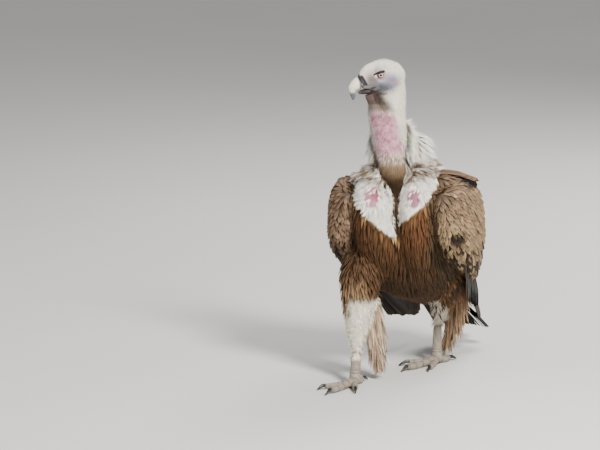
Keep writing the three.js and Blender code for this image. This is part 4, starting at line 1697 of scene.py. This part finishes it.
def grow_flight(side, sign):
    """Secondaries and primaries of one wing."""
    out = way(sign, 0, 0.28)
    tip = 82 if sign > 0 else 60
    # count, roots from and to, tips from and to, half width, sag, step outwards between feathers, sweep
    rows = [
        (14, (128, 16, 322), (108, -198, 213), (129, -58, 180), (96, -330, 114), 19, 8, 0.35, 12),
        (9, (110, -120, 210), (98, -188, 194), (103, -320, 88), (tip, -444, 64), 21, 5, 0.5, 0),
    ]
    roots, tips, halves, sags = [], [], [], []
    for count, r0, r1, t0, t1, half, sag, step, sweep in rows:
        r0, r1, t0, t1 = ((sign * left, ahead, up) for left, ahead, up in (r0, r1, t0, t1))
        lift = np.arange(count)[:, None] * step * MM * out
        roots.append(row(r0, r1, count) + lift)
        tips.append(row(t0, t1, count, sweep) + lift + rng.normal(0, 1.6 * MM, (count, 3)))
        halves.append(np.full(count, half * MM))
        sags.append(np.full(count, sag * MM))
    batch = Quills(
        np.vstack(roots), np.vstack(tips), out, np.hstack(halves), np.hstack(sags)[:, None], 0.12 * sign,
    )
    base = (0.030, 0.024, 0.020) * shades(batch.count, 0.2)
    tints = vane_tints(base, (0.20, 0.14, 0.09), (0.06, 0.045, 0.035), strap, 0.2, 0.4, 0.3, 0.8)
    piece = build("flight_" + side, batch, QUILL_VANES, tints, QUILL)
    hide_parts(f"wing_{side}_flight")


TAIL_FEATHERS = 12


def grow_tail():
    """Twelve tail feathers, the middle pair on top."""
    share = np.linspace(-1, 1, TAIL_FEATHERS)[:, None]
    angle = np.radians(15 + 9 * share)
    drop = math.radians(34)
    reach = 240 * (1 - 0.1 * share ** 2)
    roots = at(6, -214, 180) + way(1, 0, 0) * 25 * MM * share - np.array((0, 0, 9 * MM)) * np.abs(share)
    along = np.hstack([np.sin(angle), np.cos(angle) * math.cos(drop), -math.sin(drop) + 0 * angle])
    tips = roots + along * reach * MM - np.array((0, 0, 2 * MM)) * np.abs(share)
    out = unit(np.hstack([0.3 * share, -0.5 + 0 * share, 1 + 0 * share]))
    batch = Quills(roots, tips, out, 17 * MM, 7 * MM)
    base = (0.026, 0.022, 0.019) * shades(batch.count, 0.15)
    tints = vane_tints(base, (0.13, 0.10, 0.08), (0.09, 0.07, 0.055), strap, 0.4, 0.5, 0.0, 0.8)
    piece = build("tail_quills", batch, QUILL_VANES, tints, QUILL)
    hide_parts("tail")


grow_head_down()
grow_neck_down()
grow_ruff()
grow_breast()
grow_legs()
grow_mantle()
for side, sign in SIGNS.items():
    grow_coverts(side, sign)
    grow_flight(side, sign)
grow_tail()


# ---------------------------------------------------------------- floor, light and camera

VIEW_AZIMUTH = math.radians(12)  # the camera stands a little to the bird's left of straight ahead
VIEW_ELEVATION = math.radians(10)
VIEW_DISTANCE = 11.5
VIEW_LENS = 300  # mm, on a 36 mm wide sensor
VIEW_TARGET = at(0, 30, 400)
TARGET_PIXEL = (404.6, 208.0)  # where the target shows in the 600 by 450 picture
PICTURE = (600, 450)


def add_camera():
    """The photograph's view: its direction, framing and flat perspective."""
    data = bpy.data.cameras.new("camera")
    data.sensor_width = 36
    data.lens = VIEW_LENS
    data.clip_end = 100
    data.shift_x = (PICTURE[0] / 2 - TARGET_PIXEL[0]) / PICTURE[0]
    data.shift_y = (TARGET_PIXEL[1] - PICTURE[1] / 2) / PICTURE[0]
    camera = placed("camera", data)
    level = math.cos(VIEW_ELEVATION)
    back = (math.sin(VIEW_AZIMUTH) * level, -math.cos(VIEW_AZIMUTH) * level, math.sin(VIEW_ELEVATION))
    camera.location = Vector(VIEW_TARGET) + Vector(back) * VIEW_DISTANCE
    camera.rotation_euler = Vector(back).to_track_quat("Z", "Y").to_euler()
    bpy.context.scene.camera = camera


LIT_PLACE = Vector((0, 0, 0.4))  # what the lamps point at


def add_area_light(name, place, size, power, colour):
    """A square lamp at a place in metres, pointed at the bird."""
    data = bpy.data.lights.new(name, "AREA")
    data.size = size
    data.energy = power
    data.color = colour
    lamp = placed(name, data)
    lamp.location = place
    lamp.rotation_euler = (Vector(place) - LIT_PLACE).to_track_quat("Z", "Y").to_euler()


def add_studio():
    """Three soft lamps, a pale sky and a plain floor."""
    add_area_light("key", (1.9, -2.3, 2.6), 0.8, 300, (1.0, 0.965, 0.91))
    add_area_light("fill", (-2.8, -2.2, 1.5), 2.4, 34, (0.95, 0.97, 1.0))
    add_area_light("rim", (0.8, 2.6, 2.4), 1.6, 110, (1.0, 0.98, 0.95))
    world = bpy.data.worlds.new("studio")
    bpy.context.scene.world = world
    world.use_nodes = True
    sky = world.node_tree.nodes["Background"].inputs
    sky["Color"].default_value = (0.93, 0.94, 0.95, 1)
    sky["Strength"].default_value = 0.5
    floor = bmesh.new()
    bmesh.ops.create_grid(floor, x_segments=2, y_segments=2, size=14)
    mesh = bpy.data.meshes.new("floor")
    floor.to_mesh(mesh)
    floor.free()
    add_object("floor", mesh, floor_material())


add_camera()
add_studio()
